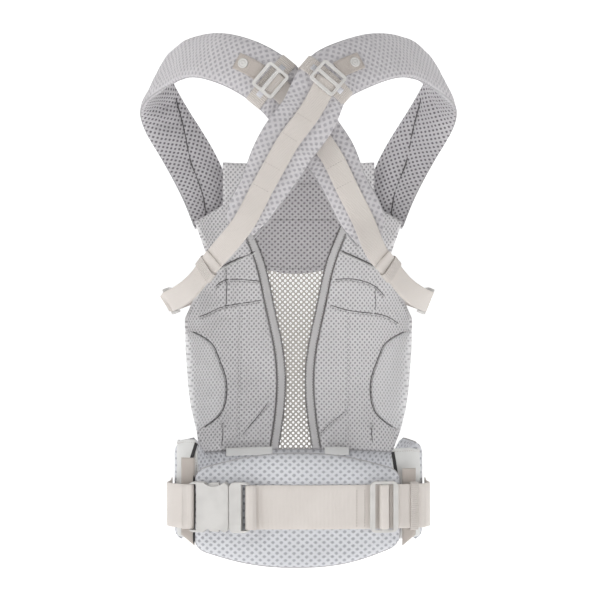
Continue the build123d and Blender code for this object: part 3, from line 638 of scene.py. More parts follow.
panel_seams, panel_stitches, hem_highlights, hem_shadows, strip_edges = [], [], [], [], []
for side, name in SIDES:
    spans = (SEAT_Z, THIGH_FOOT_Z, 14), (THIGH_FOOT_Z, THIGH_TOP_Z, 60), (THIGH_TOP_Z, HEM_TOP_Z, 48)
    heights = np.unique(np.concatenate([np.linspace(*span) for span in spans]))
    side_edges = ordered(side, beside_window(side, STRIP_W + 0.2), side_panel_rim(side))
    shell(
        f"side_panel_{name}_cloth", PANEL, side_to_side(PANEL, heights, *side_edges, 2.0),
        thick=flat_thick(PANEL_T, 3.0), relief=side_relief(side), materials=PANEL_MESH,
        slot="panel_mesh", stands_for=[f"side_panel_{name}"],
    )
    shell(
        f"binding_strip_{name}_cloth", PANEL,
        side_to_side(PANEL, np.linspace(SEAT_Z, FOLD_Z - 0.6, 100),
                     *ordered(side, beside_window(side, 0.1), beside_window(side, STRIP_W)), 1.2),
        thick=flat_thick(6.6, 2.2), materials=BINDING,
        slot="binding", stands_for=[f"binding_strip_{name}"],
        relief=lambda s, z: 0.25 * np.sin(z / 3.1) * np.cos(s / 2.4) + 0.2 * np.sin(z / 7.3),
    )
    for line in (POCKET_TOP, POCKET_FOOT, POCKET_SIDE, CORNER, DART):
        panel_seams.append(on_face(side, line[side], -0.3))
    z = np.linspace(264, 294.5, 30)
    # pale thread along the hem's fold is a painted highlight; the dark thread just above it is painted
    # shadow
    hem_highlights.append(PANEL.place(beside(side, hem, -1.2)(z), z - 1.6, -2.9))
    hem_shadows.append(PANEL.place(beside(side, hem, 0.4)(z), z + 0.4, -3.0))
    for shift in (-1.6, 1.6):
        panel_stitches.append(on_face(side, [(s + shift, z) for s, z in QUILT[side]], 0.1))
    for line in (POCKET_TOP, POCKET_FOOT):
        panel_stitches.append(on_face(side, [(s, z - 2.6) for s, z in line[side]], 0.1))
    for extra in (0.3, STRIP_W - 0.3):
        z = np.linspace(SEAT_Z + 2, FOLD_Z - 3, 90)
        strip_edges.append(PANEL.place(beside_window(side, extra)(z), z, -2.6))
    for inset in (1.6, STRIP_W - 1.6):
        z = np.linspace(54, 328, 60)
        panel_stitches.append(PANEL.place(beside_window(side, inset)(z), z, -3.1))

    # roll of padding round the thigh
    roll_zs = np.linspace(THIGH_FOOT_Z + 0.6, THIGH_TOP_Z - 0.4, 64)
    roll_edges = ordered(side, beside(side, thigh_seam, 0.3), beside(side, thigh_rim, 0.4))
    # the roll's lighter mesh is painted light on the panel's own fabric
    thigh_pad = shell(
        f"thigh_pad_{name}_cushion", PANEL, side_to_side(PANEL, roll_zs, *roll_edges, 2.0),
        thick=thigh_roll, materials=LIT_THIGH_MESH, slot="thigh_mesh",
        relief=rippled((31, 70, 1.0, 0.25), (19, 100, 0.3, 0.12)),
        stands_for=[f"thigh_pad_{name}"],
    )
    z = np.linspace(THIGH_FOOT_Z + 3, THIGH_TOP_Z - 2, 50)
    panel_seams.append(PANEL.place(beside(side, thigh_seam, -0.8)(z), z, -3.0))

    # anchor panel between the hem and the end of the shoulder pad
    shell(
        f"strap_anchor_{name}_cloth", PANEL,
        side_to_side(PANEL, np.linspace(276.8, NECK_TOP_Z, 64), *anchor_edges(side), 2.0),
        thick=flat_thick(PANEL_T, 2.5), materials=PANEL_MESH,
        slot="panel_mesh", stands_for=[f"strap_anchor_{name}"],
        relief=rippled(*SAG),
    )

HEM_SAG = 4.5
neck_angle, neck_z = side_to_side(
    PANEL, np.linspace(WINDOW_TOP_Z, FOLD_Z + 0.6, 44),
    beside_window(LEFT, -0.2), beside_window(RIGHT, -0.2), 2.0,
)
hanging = np.clip((FOLD_Z - neck_z) / (FOLD_Z - WINDOW_TOP_Z), 0, 1) ** 2
from_middle = np.linspace(-1, 1, neck_z.shape[1])
neck_z = neck_z - HEM_SAG * hanging * (1 - from_middle ** 2)
shell(
    "neck_panel_cloth", PANEL, (neck_angle, neck_z),
    thick=flat_thick(PANEL_T, 2.5), materials=NECK_MESH,
    slot="dark_mesh", stands_for=["neck_panel"],
    relief=rippled((60, 90, 0.5, 0.5), (34, 60, 1.5, 0.2)),
)
hem_row, hem_span = 4, slice(2, -2)
panel_stitches.append(PANEL.place(neck_angle[hem_row, hem_span], neck_z[hem_row, hem_span], -2.7))

# head support: an upper band, a seam, and the softer part that folds
SUPPORT_HALF = PANEL.angle_at(SUPPORT_X)
SUPPORT_SEAM_Z = 379.0


def support_relief(s, z):
    seam = np.abs(z - SUPPORT_SEAM_Z)
    band = 1.2 * soft_step(z, SUPPORT_SEAM_Z + 1, SUPPORT_SEAM_Z + 5)
    soft = ripple(s, z, [(48, 85, 0.8, 0.35), (26, 30, 2.0, 0.18)])
    return band - 1.8 * np.exp(-(seam / 1.6) ** 2) + soft


head_support = shell(
    "head_support_cushion", PANEL,
    side_to_side(PANEL, np.linspace(FOLD_Z - 0.2, NECK_TOP_Z, 48),
                 fixed(-SUPPORT_HALF), fixed(SUPPORT_HALF), 2.0),
    thick=lambda s, z, inset: 0.7 + 2.9 * rounded_edge(inset, 6), materials=NECK_MESH,
    body=None, slot="dark_mesh", relief=support_relief, stands_for=["head_support"],
)
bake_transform(head_support)
support_line = np.linspace(-SUPPORT_HALF + 0.03, SUPPORT_HALF - 0.03, 40)
thread(
    "head_support_stitching",
    [PANEL.place(support_line, SUPPORT_SEAM_Z + rise, -2.9) for rise in (-2.4, 2.6)]
    + [PANEL.place(support_line, NECK_TOP_Z - 4, -3.6)],
    THREAD, radius=0.3, stitch=(2.4, 1.0), body="head_support", slot="dark_mesh",
)

# ---------------------------------------------------------------- see-through window
NET_PITCH, NET_ROW = 6.6, 3.3       # holes are staggered, so each row is half a pitch over
NET_HOLE = smooth([50, 140, 271], [0.48, 0.36, 0.48])  # share of a cell's width that is open, by height
NET_T = 1.0


def see_through_net():
    """Mesh fabric with an open hole in every cell."""
    corners = 12
    turns = np.arange(corners) * 2 * math.pi / corners
    points, faces, flat, seen = [], [], [], {}

    def vertex(s, z):
        left = PANEL.arc(beside_window(LEFT, 0.4)(z))
        right = PANEL.arc(beside_window(RIGHT, 0.4)(z))
        s, z = float(np.clip(s, left, right)), float(np.clip(z, SEAT_Z + 0.4, WINDOW_TOP_Z - 0.2))
        key = (round(s, 2), round(z, 2))
        if key not in seen:
            seen[key] = len(points)
            sway = 0.5 * math.sin(s / 14 + 1) + 0.5 * math.sin(z / 17)
            points.append(PANEL.place(PANEL.angle_of(np.array(s)), z, sway))
            flat.append(key)
        return seen[key]

    rows = int((WINDOW_TOP_Z - SEAT_Z) / NET_ROW) + 1
    for row in range(rows + 1):
        z0 = SEAT_Z + row * NET_ROW
        edge = abs(float(window_half(np.clip(z0, SEAT_Z, WINDOW_TOP_Z)))) + NET_PITCH
        hole = float(NET_HOLE(z0))
        for column in range(-int(80 / NET_PITCH), int(80 / NET_PITCH) + 1):
            s0 = (column + 0.5 * (row % 2)) * NET_PITCH
            if abs(s0 - HOURGLASS_X) > edge:
                continue
            outer, inner = [], []
            for turn in turns:
                # a cell is a diamond whose corners are half a pitch and one row away
                sharp = abs(math.cos(turn)) + abs(math.sin(turn))
                ds = NET_PITCH / 2 * math.cos(turn) / sharp
                dz = NET_ROW * math.sin(turn) / sharp
                outer.append(vertex(s0 + ds, z0 + dz))
                round_s = NET_PITCH / 2 * hole * math.cos(turn)
                round_z = NET_ROW * hole * math.sin(turn)
                inner.append(vertex(s0 + round_s, z0 + round_z))
            for k in range(corners):
                n = (k + 1) % corners
                face = (outer[k], outer[n], inner[n], inner[k])
                if len(set(face)) >= 3:
                    faces.append(tuple(dict.fromkeys(face)))
    return np.array(points), faces, np.array(flat)


net_points, net_faces, net_flat = see_through_net()
net = make(
    "centre_mesh_net", net_points, net_faces, net_flat, NET,
    slot="open_mesh", stands_for=["centre_mesh"],
)
thickness = net.modifiers.new("fabric thickness", "SOLIDIFY")
thickness.thickness = NET_T * MM
thickness.offset = 0
net_zs = np.linspace(SEAT_Z, WINDOW_TOP_Z, 60)
net_width = 2 * (window_half(net_zs) - 0.4) * MM

# ---------------------------------------------------------------- waist belt and lumbar pad
BELT_END = math.acos(-15 / 125) - 0.01          # the belt stops beside the wearer's hips
LUMBAR_ENDS = -117.5, 115.0
CORNER_R = 11.0

lumbar_top_line = smooth([-116, -58, -2, 56, 112], [40, 55, 60, 55, 40])
lumbar_foot_line = smooth([-118, -60, 0, 60, 118], [-49, -64, -68.5, -62.5, -43])


def belt_top(angle):
    """Height of the belt's upper edge, which rises beside the hips."""
    sideways = np.abs(PANEL.half_x * np.sin(angle))
    return np.interp(sideways, [0, 114, 117, 126, 150], [49.6, 49.6, 51, 68, 64])


def belt_foot(angle):
    sideways = np.abs(PANEL.half_x * np.sin(angle))
    return np.interp(sideways, [0, 110, 150], [-61.5, -56, -40])


def corner_cut(x):
    """How much the rounded corners of the lumbar pad take off its height."""
    near = np.clip(np.minimum(x - LUMBAR_ENDS[0], LUMBAR_ENDS[1] - x), 0, CORNER_R)
    return CORNER_R - np.sqrt(CORNER_R ** 2 - (CORNER_R - near) ** 2)


def lumbar_top(angle):
    x = LUMBAR.half_x * np.sin(angle)
    return lumbar_top_line(x) - corner_cut(x)


def lumbar_foot(angle):
    x = LUMBAR.half_x * np.sin(angle)
    return lumbar_foot_line(x) + corner_cut(x)


belt_angles = np.linspace(-BELT_END, BELT_END, 230)
belt = shell(
    "waistbelt_cushion", PANEL, foot_to_top(belt_angles, belt_foot, belt_top, 52),
    thick=lambda s, z, inset: 1.0 + 7.0 * rounded_edge(inset, 14), materials=LUMBAR_MESH,
    relief=rippled((70, 5, 0.3, 0.4), (41, 60, 1.0, 0.2)),
    slot="spacer_mesh", stands_for=["waistbelt_cover", "waistbelt_foam"],
)

lumbar_angles = LUMBAR.angle_at(np.linspace(*LUMBAR_ENDS, 130))
lumbar = shell(
    "lumbar_cushion", LUMBAR, foot_to_top(lumbar_angles, lumbar_foot, lumbar_top, 66),
    thick=lambda s, z, inset: 1.2 + 6.8 * rounded_edge(inset, 17), materials=LUMBAR_MESH,
    relief=rippled((83, 12, 0.9, 0.35), (47, 75, 2.1, 0.22)),
    slot="spacer_mesh", stands_for=["lumbar_cover", "lumbar_foam"],
)
lumbar_rim = np.concatenate([
    LUMBAR.place(lumbar_angles, lumbar_top(lumbar_angles), 0.0),
    LUMBAR.place(lumbar_angles[::-1], lumbar_foot(lumbar_angles[::-1]), 0.0),
])
lumbar_rim = np.concatenate([lumbar_rim, lumbar_rim[:2]])
thread("lumbar_piping", [lumbar_rim], PIPING, radius=1.3, slot="binding")
# dark line down the left end of the lumbar pad, next to its tape: painted shadow in the gap between them
end_z = np.linspace(-44, 34, 20)
thread(
    "lumbar_end_painted_shadow", [LUMBAR.place(LUMBAR.angle_at(-118.6 + 0 * end_z), end_z, 2.0)], DARK_EDGE,
    radius=1.2, slot="binding",
)
belt_rim = [PANEL.place(belt_angles, edge(belt_angles), 0.0) for edge in (belt_top, belt_foot)]
thread("waistbelt_piping", belt_rim, PIPING, radius=1.3, slot="binding")

PATCH_TOP = {LEFT: 54.0, RIGHT: 42.0}
WING = [(140, -16), (137, -42), (124, -62), (108, -71)]
WING_TOP = {LEFT: 74.0, RIGHT: 64.0}
WING_FOOT_Z = -40.0
# dark inner edge of the wing: sideways place and height of its top, then of its foot
WING_EDGE = {LEFT: (117, 70, 126, 42), RIGHT: (108, 60, 113, 30)}
SEAT_TAB_X = {LEFT: (32.0, 88.0), RIGHT: (32.0, 62.0)}
SEAT_TAB_FOOT_Z, SEAT_TAB_TOP_Z = 44.0, 54.0
TAB_WALL = Wall(PANEL.half_x - 9.4, PANEL.half_y - 9.4)     # the belt's face towards the wearer


def patch_foot(angle):
    """Lower edge of the tape at the lumbar pad's end, which rises outwards."""
    return -46 + 12 * (np.abs(LUMBAR.half_x * np.sin(angle)) - 119) / 15


for side, name in SIDES:
    # tape at the end of the lumbar pad
    first, second = sorted((side * 118.5, side * 134))
    tape_angles = LUMBAR.angle_at(np.linspace(first, second, 12))
    shell(
        f"lumbar_patch_{name}_tape", LUMBAR,
        foot_to_top(tape_angles, patch_foot, fixed(PATCH_TOP[side]), 50),
        thick=flat_thick(2.2, 1.2), materials=TAPE, slot="tape", stands_for=[f"lumbar_patch_{name}"],
        relief=rippled((23, 85, 0.7, 0.2)),
    )
    # thin wing of fabric from the belt to the lumbar pad, with a rounded end
    path = through([(side * x, y, 0) for x, y in WING], 1.6)
    phase = np.linspace(0, 7, len(path))
    near_end = np.abs(path[:, 0]) - WING_EDGE[side][0]
    top = WING_TOP[side] - 3 * soft_step(np.abs(path[:, 0]), 128, 140)
    top = top - (WING_TOP[side] - 34) * soft_step(-near_end, -1.5, 2.5)
    height = top - WING_FOOT_Z
    outline = np.stack([tape_outline(h, 3.6, sewn=-0.5) for h in height])
    outline[..., 1] += 0.35 * np.sin(outline[..., 0] / 6 + phase[:, None])
    outline[..., 0] += (WING_FOOT_Z + height / 2)[:, None]
    sweep(
        f"belt_wing_{name}_cloth", path, UP, outline, WING_FABRIC,
        slot="wing_fabric", stands_for=[f"belt_wing_{name}"],
    )
    tops = path + UP * (top[:, None] - 3.5)
    outwards = unit(np.cross(np.gradient(path, axis=0), UP))
    thread(
        f"belt_wing_{name}_stitching", [tops + outwards * lift for lift in (-2.0, 2.0)],
        PALE_THREAD, radius=0.3, stitch=(2.4, 1.0), slot="wing_fabric",
    )
    # dark strip down the inner edge of the wing
    edge_x, edge_top, foot_x, foot_z = WING_EDGE[side]
    xs = np.linspace(edge_x, foot_x, 14)
    ys = np.interp(xs, [x for x, _ in WING[::-1]], [y for _, y in WING[::-1]]) - 4.2
    binding = np.stack([side * xs, ys, np.linspace(edge_top, foot_z, 14)], -1)
    sweep(
        f"wing_dark_strip_{name}", binding, (side * 0.8, 0.55, 0), tape_outline(4.6, 0.8), DARK_EDGE,
        slot="wing_fabric",
    )
    # seat-width tab on the belt
    first, second = sorted(side * x for x in SEAT_TAB_X[side])
    tab_angles = PANEL.angle_at(np.linspace(first, second, 32))
    angle, z = foot_to_top(tab_angles, fixed(SEAT_TAB_FOOT_Z), fixed(SEAT_TAB_TOP_Z), 9)
    shell(
        f"seat_tab_{name}_tape", TAB_WALL, (TAB_WALL.angle_at(PANEL.half_x * np.sin(angle)), z),
        thick=flat_thick(1.9, 1.0), materials=WING_FABRIC, slot="tape", stands_for=[f"seat_tab_{name}"],
    )

# ---------------------------------------------------------------- shoulder pads
# arm-side and neck-side edge points, from the panel up over the shoulder
SHOULDER = [
    ((126, 76, 322), (74, 124, 330)),
    ((138, 84, 352), (84, 122, 366)),
    ((154, 90, 384), (98, 118, 403)),
    ((170, 92, 412), (115, 112, 434)),
    ((185, 82, 438), (134, 104, 464)),
    ((190, 60, 462), (152, 90, 496)),
    ((176, 28, 476), (158, 62, 518)),
    ((152, -8, 487), (142, 25, 536)),
    ((128, -48, 492), (110, -22, 543)),
    ((100, -80, 485), (76, -68, 538)),
]
# the two ends that cross over the back, the right one on top
BACK = {
    LEFT: [
        ((74, -93, 473), (44, -87, 526)),
        ((48, -97, 455), (13, -95, 507)),
        ((26, -98, 431), (-22, -98, 473)),
        ((8, -99, 410), (-43, -99, 439)),
        ((-12, -100, 384), (-61, -100, 411)),
        ((-34, -101, 347), (-77, -101, 371)),
        ((-56, -102, 307), (-95, -102, 329)),
        ((-67, -102, 294), (-93, -102, 309)),
    ],
    RIGHT: [
        ((74, -99, 473), (44, -93, 526)),
        ((48, -111, 455), (13, -109, 507)),
        ((33, -119, 418), (-11, -118, 466)),
        ((14, -122, 392), (-33, -122, 436)),
        ((-2, -123, 366), (-52, -123, 401)),
        ((-22, -123, 340), (-66, -123, 365)),
        ((-44, -121, 310), (-77, -121, 333)),
        ((-52, -120, 301), (-74, -120, 317)),
    ],
}
PAD_T = 14.0
END_THICKS = [8.0, 11.0]
TAB_STATION = len(SHOULDER)
LOCK_STATION = TAB_STATION + 1
AROUND = 40                         # points round a pad's section


class Pad:
    """Shoulder pad: middle, width vector and thickness at its stations, and a curve through them."""

    def __init__(self, side):
        edges = SHOULDER + BACK[side]
        if side == RIGHT:
            ends = [(neck, arm) for arm, neck in edges]
        else:
            ends = [tuple((-x, y, z) for x, y, z in pair) for pair in edges]
        ends = np.array(ends, float)
        self.middles = ends.mean(1)
        self.across = ends[:, 1] - ends[:, 0]
        self.thicks = np.array(END_THICKS + [PAD_T] * (len(edges) - 4) + END_THICKS[::-1])
        self.reach = run_length(self.middles)
        self.curve = smooth(self.reach, np.column_stack([self.middles, self.across, self.thicks]))

    def frame(self, station):
        """Middle, direction along, direction across and outwards at a station."""
        last = len(self.middles) - 1
        along = unit(self.middles[min(station + 1, last)] - self.middles[max(station - 1, 0)])
        across = self.across[station] - along * np.dot(self.across[station], along)
        across = unit(across)
        return self.middles[station], along, across, np.cross(along, across)


def pad_outline(width, thick):
    """Rounded outline of a stuffed band."""
    turn = np.arange(AROUND) * 2 * math.pi / AROUND + math.pi / AROUND
    return rounded_outline(turn, width, thick)


def crown(share, thick):
    """Height of a pad's face above its middle, at a share of the half width."""
    return thick / 2 * (1 - np.abs(share) ** 2.5) ** 0.4


STATIONS = 300                      # points along a pad
CENTRE_SEAM = 150.0, 395.0          # where the outer face is seamed down its middle
SEAM_FADE = 12.0
LINING_SEAM = 6.0, 170.0            # where the lining is pieced
# the lining's seam wanders over the pad: distance along it, and share of the width from its middle
LINING_LINE = smooth([0, 40, 80, 120, 175], [-0.26, -0.12, -0.06, 0.16, 0.42])
FOLD_AT = 160.0                     # the pad creases here on its inner face, over the shoulder
pads = {side: Pad(side) for side in (LEFT, RIGHT)}


def between_ends(along, span):
    """1 inside a span along a pad, fading to 0 past its ends."""
    start, end = span
    return soft_step(along, start - SEAM_FADE, start) * soft_step(-along, -end, SEAM_FADE - end)


def stations_in(span, reach):
    """The points of a pad's curve that lie in a span along it."""
    return slice(int(STATIONS * span[0] / reach), int(STATIONS * span[1] / reach))


for side, name in SIDES:
    pad = pads[side]
    length = np.linspace(0, pad.reach[-1], STATIONS)
    curve = pad.curve(length)
    width = np.linalg.norm(curve[:, 3:6], axis=1)
    outline = np.stack([pad_outline(w, t) for w, t in zip(width, curve[:, 6])])
    x, y = outline[..., 0].copy(), outline[..., 1].copy()
    along = np.broadcast_to(length[:, None], x.shape)
    on_top = y > 0
    seamed = between_ends(along, CENTRE_SEAM)
    seam_x = 0.10 * width[:, None] * -side
    top_seam = np.exp(-((x - seam_x) / 1.5) ** 2) * 1.7 * seamed
    lined = between_ends(along, LINING_SEAM)
    lining_x = LINING_LINE(along) * width[:, None] * -side
    low_seam = np.exp(-((x - lining_x) / 3.2) ** 2) * 2.6 * lined
    edge = np.abs(x) / (width[:, None] / 2)
    flange = 0.7 * np.exp(-((edge - 0.88) / 0.035) ** 2)
    folds = 2.4 * np.exp(-((along - FOLD_AT) / 34) ** 2) * np.sin(along / 4.6 + x / 9)
    folds = folds * np.clip(1 - edge, 0, 1)
    soft = ripple(x, along, [(52, 80, 0.7 + side, 0.35), (31, 60, 2.2, 0.22), (21, 100, 1.0, 0.12)])
    press = np.where(on_top, soft - top_seam - flange, -soft + low_seam + flange - folds)
    outline[..., 1] = y + press * np.clip(np.abs(y) / 3, 0, 1)
    # the inner half of each section takes the darker lining, whose darkness is partly painted shade
    cushion = sweep(
        f"shoulder_pad_{name}_cushion", curve[:, :3], curve[:, 3:6], outline, [STRAP_MESH, SHADED_STRAP_LINING],
        pick=lambda i: (i % AROUND) >= AROUND // 2,
        slot="spacer_mesh", stands_for=[f"shoulder_cover_{name}", f"shoulder_foam_{name}"],
    )
    directions = unit(np.gradient(curve[:, :3], axis=0))
    across = unit(curve[:, 3:6])
    outwards = np.cross(directions, across)
    rims = [curve[:, :3] + across * (sign * (width[:, None] / 2 - 0.2)) for sign in (-1, 1)]
    thread(f"shoulder_pad_{name}_piping", rims, PIPING, radius=1.1, slot="binding")
    inside = stations_in(CENTRE_SEAM, length[-1])
    centre_line = curve[:, :3] + across * (0.10 * width[:, None] * -side)
    centre_line = centre_line + outwards * (curve[:, 6:7] / 2 - 1.5)
    thread(f"shoulder_pad_{name}_seam", [centre_line[inside]], THREAD, radius=0.55, slot="spacer_mesh")
    inside = stations_in(LINING_SEAM, length[-1])
    shift = LINING_LINE(length)[:, None] * -side
    depth = crown(2 * shift, curve[:, 6:7]) - 1.4
    lining_line = curve[:, :3] + across * width[:, None] * shift - outwards * depth
    thread(
        f"shoulder_pad_{name}_lining_seam", [lining_line[inside]], SHADOW_THREAD, radius=0.7,
        slot="spacer_mesh",
    )

# ---------------------------------------------------------------- fittings on the shoulder pads
BAND_LENGTH = 20.0
BAND_T, BAND_ROOM = 1.2, 1.9        # the band, and how much wider than the pad its loop is
SNAP_R = 6.0
# radius and height round the stud's cap, from its rim to its middle
CAP_PROFILE = [(SNAP_R, 0), (SNAP_R, 0.9), (5.6, 1.5), (4.9, 1.7), (4.3, 1.3), (3.1, 1.15), (2.7, 1.5),
               (2.1, 1.7), (1.4, 1.35), (0.5, 1.25), (0.05, 1.25)]
TAB_REACH = 21.0                    # the tab runs back to the strap lock


def loop_round(name, middle, along, across, out, size, tape, material, **how):
    """Closed loop of tape round a strap, where size is the loop's width and height."""
    turn = np.linspace(0, 2 * math.pi, 56, endpoint=False)
    places = rounded_outline(turn, *size, power=4.0)
    path = middle + across * places[:, :1] + out * places[:, 1:]
    return sweep(name, path, along, tape_outline(*tape), material, closed=True, **how)


def turned(name, middle, across, along, out, profile, material, **how):
    """Round piece from a profile of (radius, height) about an axis."""
    count = 40
    turn = np.arange(count) * 2 * math.pi / count
    points, flat = [], []
    for radius, height in profile:
        ring = across * np.cos(turn)[:, None] + along * np.sin(turn)[:, None]
        points.append(middle + ring * radius + out * height)
        flat.append(np.stack([turn * radius, 0 * turn + height], -1))
    faces = grid_faces(len(profile), count, closed=True)
    faces.append(tuple(range(count)))
    faces.append(tuple(reversed(range((len(profile) - 1) * count, len(profile) * count))))
    return make(name, np.concatenate(points), faces, np.concatenate(flat), material, **how)


for side, name in SIDES:
    pad = pads[side]
    middle, along, across, out = pad.frame(LOCK_STATION)
    width = np.linalg.norm(pad.across[LOCK_STATION])
    places = pad_outline(width + BAND_ROOM, PAD_T + BAND_ROOM)
    path = middle + across * places[:, :1] + out * places[:, 1:]
    sweep(
        f"keeper_band_{name}_elastic", path, along, tape_outline(BAND_LENGTH, BAND_T), ELASTIC,
        closed=True, slot="tape", stands_for=[f"keeper_band_{name}"],
    )
    across_part = np.linspace(-0.36, 0.36, 24) * width
    lift = crown(2 * across_part / (width + BAND_ROOM), PAD_T + BAND_ROOM) + 0.85
    stripe = middle + across * across_part[:, None] + out * lift[:, None]
    sweep(
        f"reflective_stripe_{name}_film", stripe, along, tape_outline(7.0, 0.5), FILM,
        slot="reflective", stands_for=[f"reflective_stripe_{name}"],
    )

    # fabric tab with its press stud
    tab_middle, tab_along, tab_across, tab_out = pad.frame(TAB_STATION)
    at = pad.reach[TAB_STATION] + np.linspace(-11, TAB_REACH, 20)
    tab_curve = pad.curve(at)
    lift = tab_curve[:, 6:7] / 2 + 1.3
    tab_path = tab_curve[:, :3] + tab_out * lift
    sweep(
        f"snap_tab_{name}_tape", tab_path, tab_curve[:, 3:6], tape_outline(20.0, 1.6), TAPE,
        slot="tape", stands_for=[f"snap_tab_{name}"],
    )
    side_lines = [tab_path + unit(tab_curve[:, 3:6]) * shift + tab_out * 0.9 for shift in (-8.2, 8.2)]
    ends = [np.array([line[i] for line in side_lines]) for i in (0, 11)]
    thread(
        f"snap_tab_{name}_stitching", side_lines + ends, PALE_THREAD, radius=0.3, stitch=(2.0, 0.8),
        slot="tape",
    )
    cap_middle = tab_middle + tab_along * -2 + tab_out * (PAD_T / 2 + 2.0)
    turned(
        f"snap_cap_{name}_stud", cap_middle, tab_across, tab_along, tab_out, CAP_PROFILE, PLASTIC,
        slot="buckle_plastic", stands_for=[f"snap_cap_{name}"],
    )

# ---------------------------------------------------------------- webbing of the shoulder straps
STRAP_WEB, WEB_T, AIR = 25.0, 2.0, 0.4
STRAP_SECTION = tape_outline(STRAP_WEB, WEB_T - 0.2)
FREE_WEBBING = [
    ((88, -117, 288), (0.80, 0.15, 0.58)),
    ((104, -101, 269), (0.50, 0.40, 0.76)),
    ((120, -85, 250), (0.50, 0.40, 0.76)),
    ((137, -58, 238), (0.45, 0.15, 0.86)),
]
KEEPER_STATION = 1
BUCKLE_MOUTH = (151, 14, 233)
BUCKLE_OUT = (0.93, 0, -0.37)
SIDE_FEMALE, SIDE_MALE, SIDE_BAR = 31.0, 18.0, 3.0
TAIL_LIFT = WEB_T + 0.3
STRAP_STITCHES = 52.0, 78.0, 118.0, 144.0   # places along the webbing, from its lock
TURN_REACH, ANCHOR_REACH = 9.0, 6.0
ANCHOR_BEND = [(-44, -5), (-58, -15), (-74, -31)]


def u_turn(bar_at, away, reach, height, steps=11):
    """Flat path (along, out) round a bar: in below it, and back out above it."""
    turn = np.linspace(-math.pi / 2, math.pi / 2, steps)
    near = bar_at - away * (height - 1.2) * np.cos(turn) * 1.35
    bend = np.stack([near, height * np.sin(turn)], -1)
    return np.concatenate([[(bar_at + away * reach, -height)], bend, [(bar_at + away * reach, height)]])


def to_side(point, side):
    return np.array((side * point[0], point[1], point[2]), float)


for side, name in SIDES:
    pad = pads[side]
    far_name = "right" if name == "left" else "left"
    origin = to_side(BUCKLE_MOUTH, -side)
    buckle_x = np.array((0.0, -1.0, 0.0))
    buckle_z = unit(to_side(BUCKLE_OUT, -side))
    buckle_y = np.cross(buckle_z, buckle_x)
    height = (SIDE_BAR + WEB_T) / 2 + AIR
    bar_at = AIR + SIDE_MALE - SIDE_BAR / 2

    middles, widths = [], []
    for step, station in enumerate(range(LOCK_STATION, len(pad.middles) - 1)):
        middle, along, across, out = pad.frame(station)
        rise = PAD_T / 2 + WEB_T / 2 + max(BAND_T, BAND_T + 3 * AIR - step)
        middles.append(middle + out * rise)
        widths.append(across)
    for middle, width in FREE_WEBBING:
        middles.append(to_side(middle, -side))
        widths.append(unit(to_side(width, -side) * -side))
    turn = [origin + buckle_x * x + buckle_z * z for x, z in u_turn(bar_at, 1, TURN_REACH, height)]
    middles.append(turn[0])
    widths.append(buckle_y * side)
    route = through(np.column_stack([middles, widths]), 2.5)
    keeper = middles[-len(FREE_WEBBING) - 1 + KEEPER_STATION]
    tail_from = np.argmin(np.linalg.norm(route[:, :3] - keeper, axis=1)) - 8
    directions = unit(np.gradient(route[:, :3], axis=0))
    outs = np.cross(directions, unit(route[:, 3:6]))
    tail = route[tail_from:, :3] + outs[tail_from:] * TAIL_LIFT
    settle = np.linspace(0, 1, len(tail))[:, None] ** 2
    tail = tail + (turn[-1] - tail[-1]) * settle
    centres = np.concatenate([route[:-1, :3], turn, tail[::-1][1:]])
    turn_across = np.tile(buckle_y * side, (len(turn), 1))
    across = np.concatenate([route[:-1, 3:6], turn_across, route[tail_from:, 3:6][::-1][1:]])
    strap = sweep(
        f"strap_webbing_{name}_tape", centres, across, STRAP_SECTION, WEBBING,
        body=None, slot="webbing", stands_for=[f"strap_webbing_{name}"],
    )
    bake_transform(strap)
    stitch_lines = []
    for at in np.searchsorted(run_length(route[:, :3]), STRAP_STITCHES):
        face = route[at, :3] + outs[at] * WEB_T / 2
        half = unit(route[at, 3:6]) * 11
        stitch_lines.append(np.array([face - half, face + half]))
    thread(
        f"strap_webbing_{name}_stitching", stitch_lines, PALE_THREAD, radius=0.3, stitch=(2.4, 0.9),
        slot="webbing",
    )

    # elastic keeper round the webbing and its tail
    at = np.argmin(np.linalg.norm(route[:, :3] - keeper, axis=1))
    across_here = unit(route[at, 3:6])
    middle = keeper + outs[at] * TAIL_LIFT / 2
    loop_round(
        f"strap_keeper_{name}_elastic", middle, directions[at], across_here, outs[at],
        (28.4, 7.6), (14.0, 1.2), ELASTIC,
        body=f"strap_keeper_{name}", slot="elastic", stands_for=[f"strap_keeper_{name}"],
    )

    # short webbing that holds the socket half to the side panel
    anchor_at = -SIDE_FEMALE + SIDE_BAR / 2
    bend = u_turn(anchor_at, -1, ANCHOR_REACH, height)[::-1]
    run = through(np.concatenate([bend[-1:], ANCHOR_BEND]), 2.5)
    flat_path = np.concatenate([bend[:-1], run])
    centres = origin + flat_path[:, :1] * buckle_x + flat_path[:, 1:] * buckle_z
    sweep(
        f"anchor_webbing_{far_name}_tape", centres, buckle_y, STRAP_SECTION, WEBBING,
        slot="webbing", stands_for=[f"anchor_webbing_{far_name}"],
    )

# ---------------------------------------------------------------- waist webbing
WAIST_WEB = 50.0
WAIST_SECTION = tape_outline(WAIST_WEB, WEB_T - 0.2)
PAD_FACE_R = LUMBAR_R + LUMBAR_T / 2
WEB_R = PAD_FACE_R + 2 * AIR + WEB_T / 2
BUCKLE_T = 13.0
BUCKLE_X, BUCKLE_R = -78.0, PAD_FACE_R + BUCKLE_T / 2 + 2 * AIR
FEMALE, MALE, BAR = 47.0, 24.0, 4.0
GLIDE_X, GLIDE_T = 97.0, 3.0
GLIDE_R = WEB_R + WEB_T + TAIL_LIFT + GLIDE_T / 2 + AIR
HIP_END = [(149.5, -70), (149, -46), (148.5, -18), (149.5, 8)]
FOLDS = (-45.7, -37.8, 66.0, 75.0)  # sewn folds across the webbing
KEEPER_X = 131.0
TAIL_X = 100.24, 140.15             # where the free tail starts and stops, on the lumbar curve


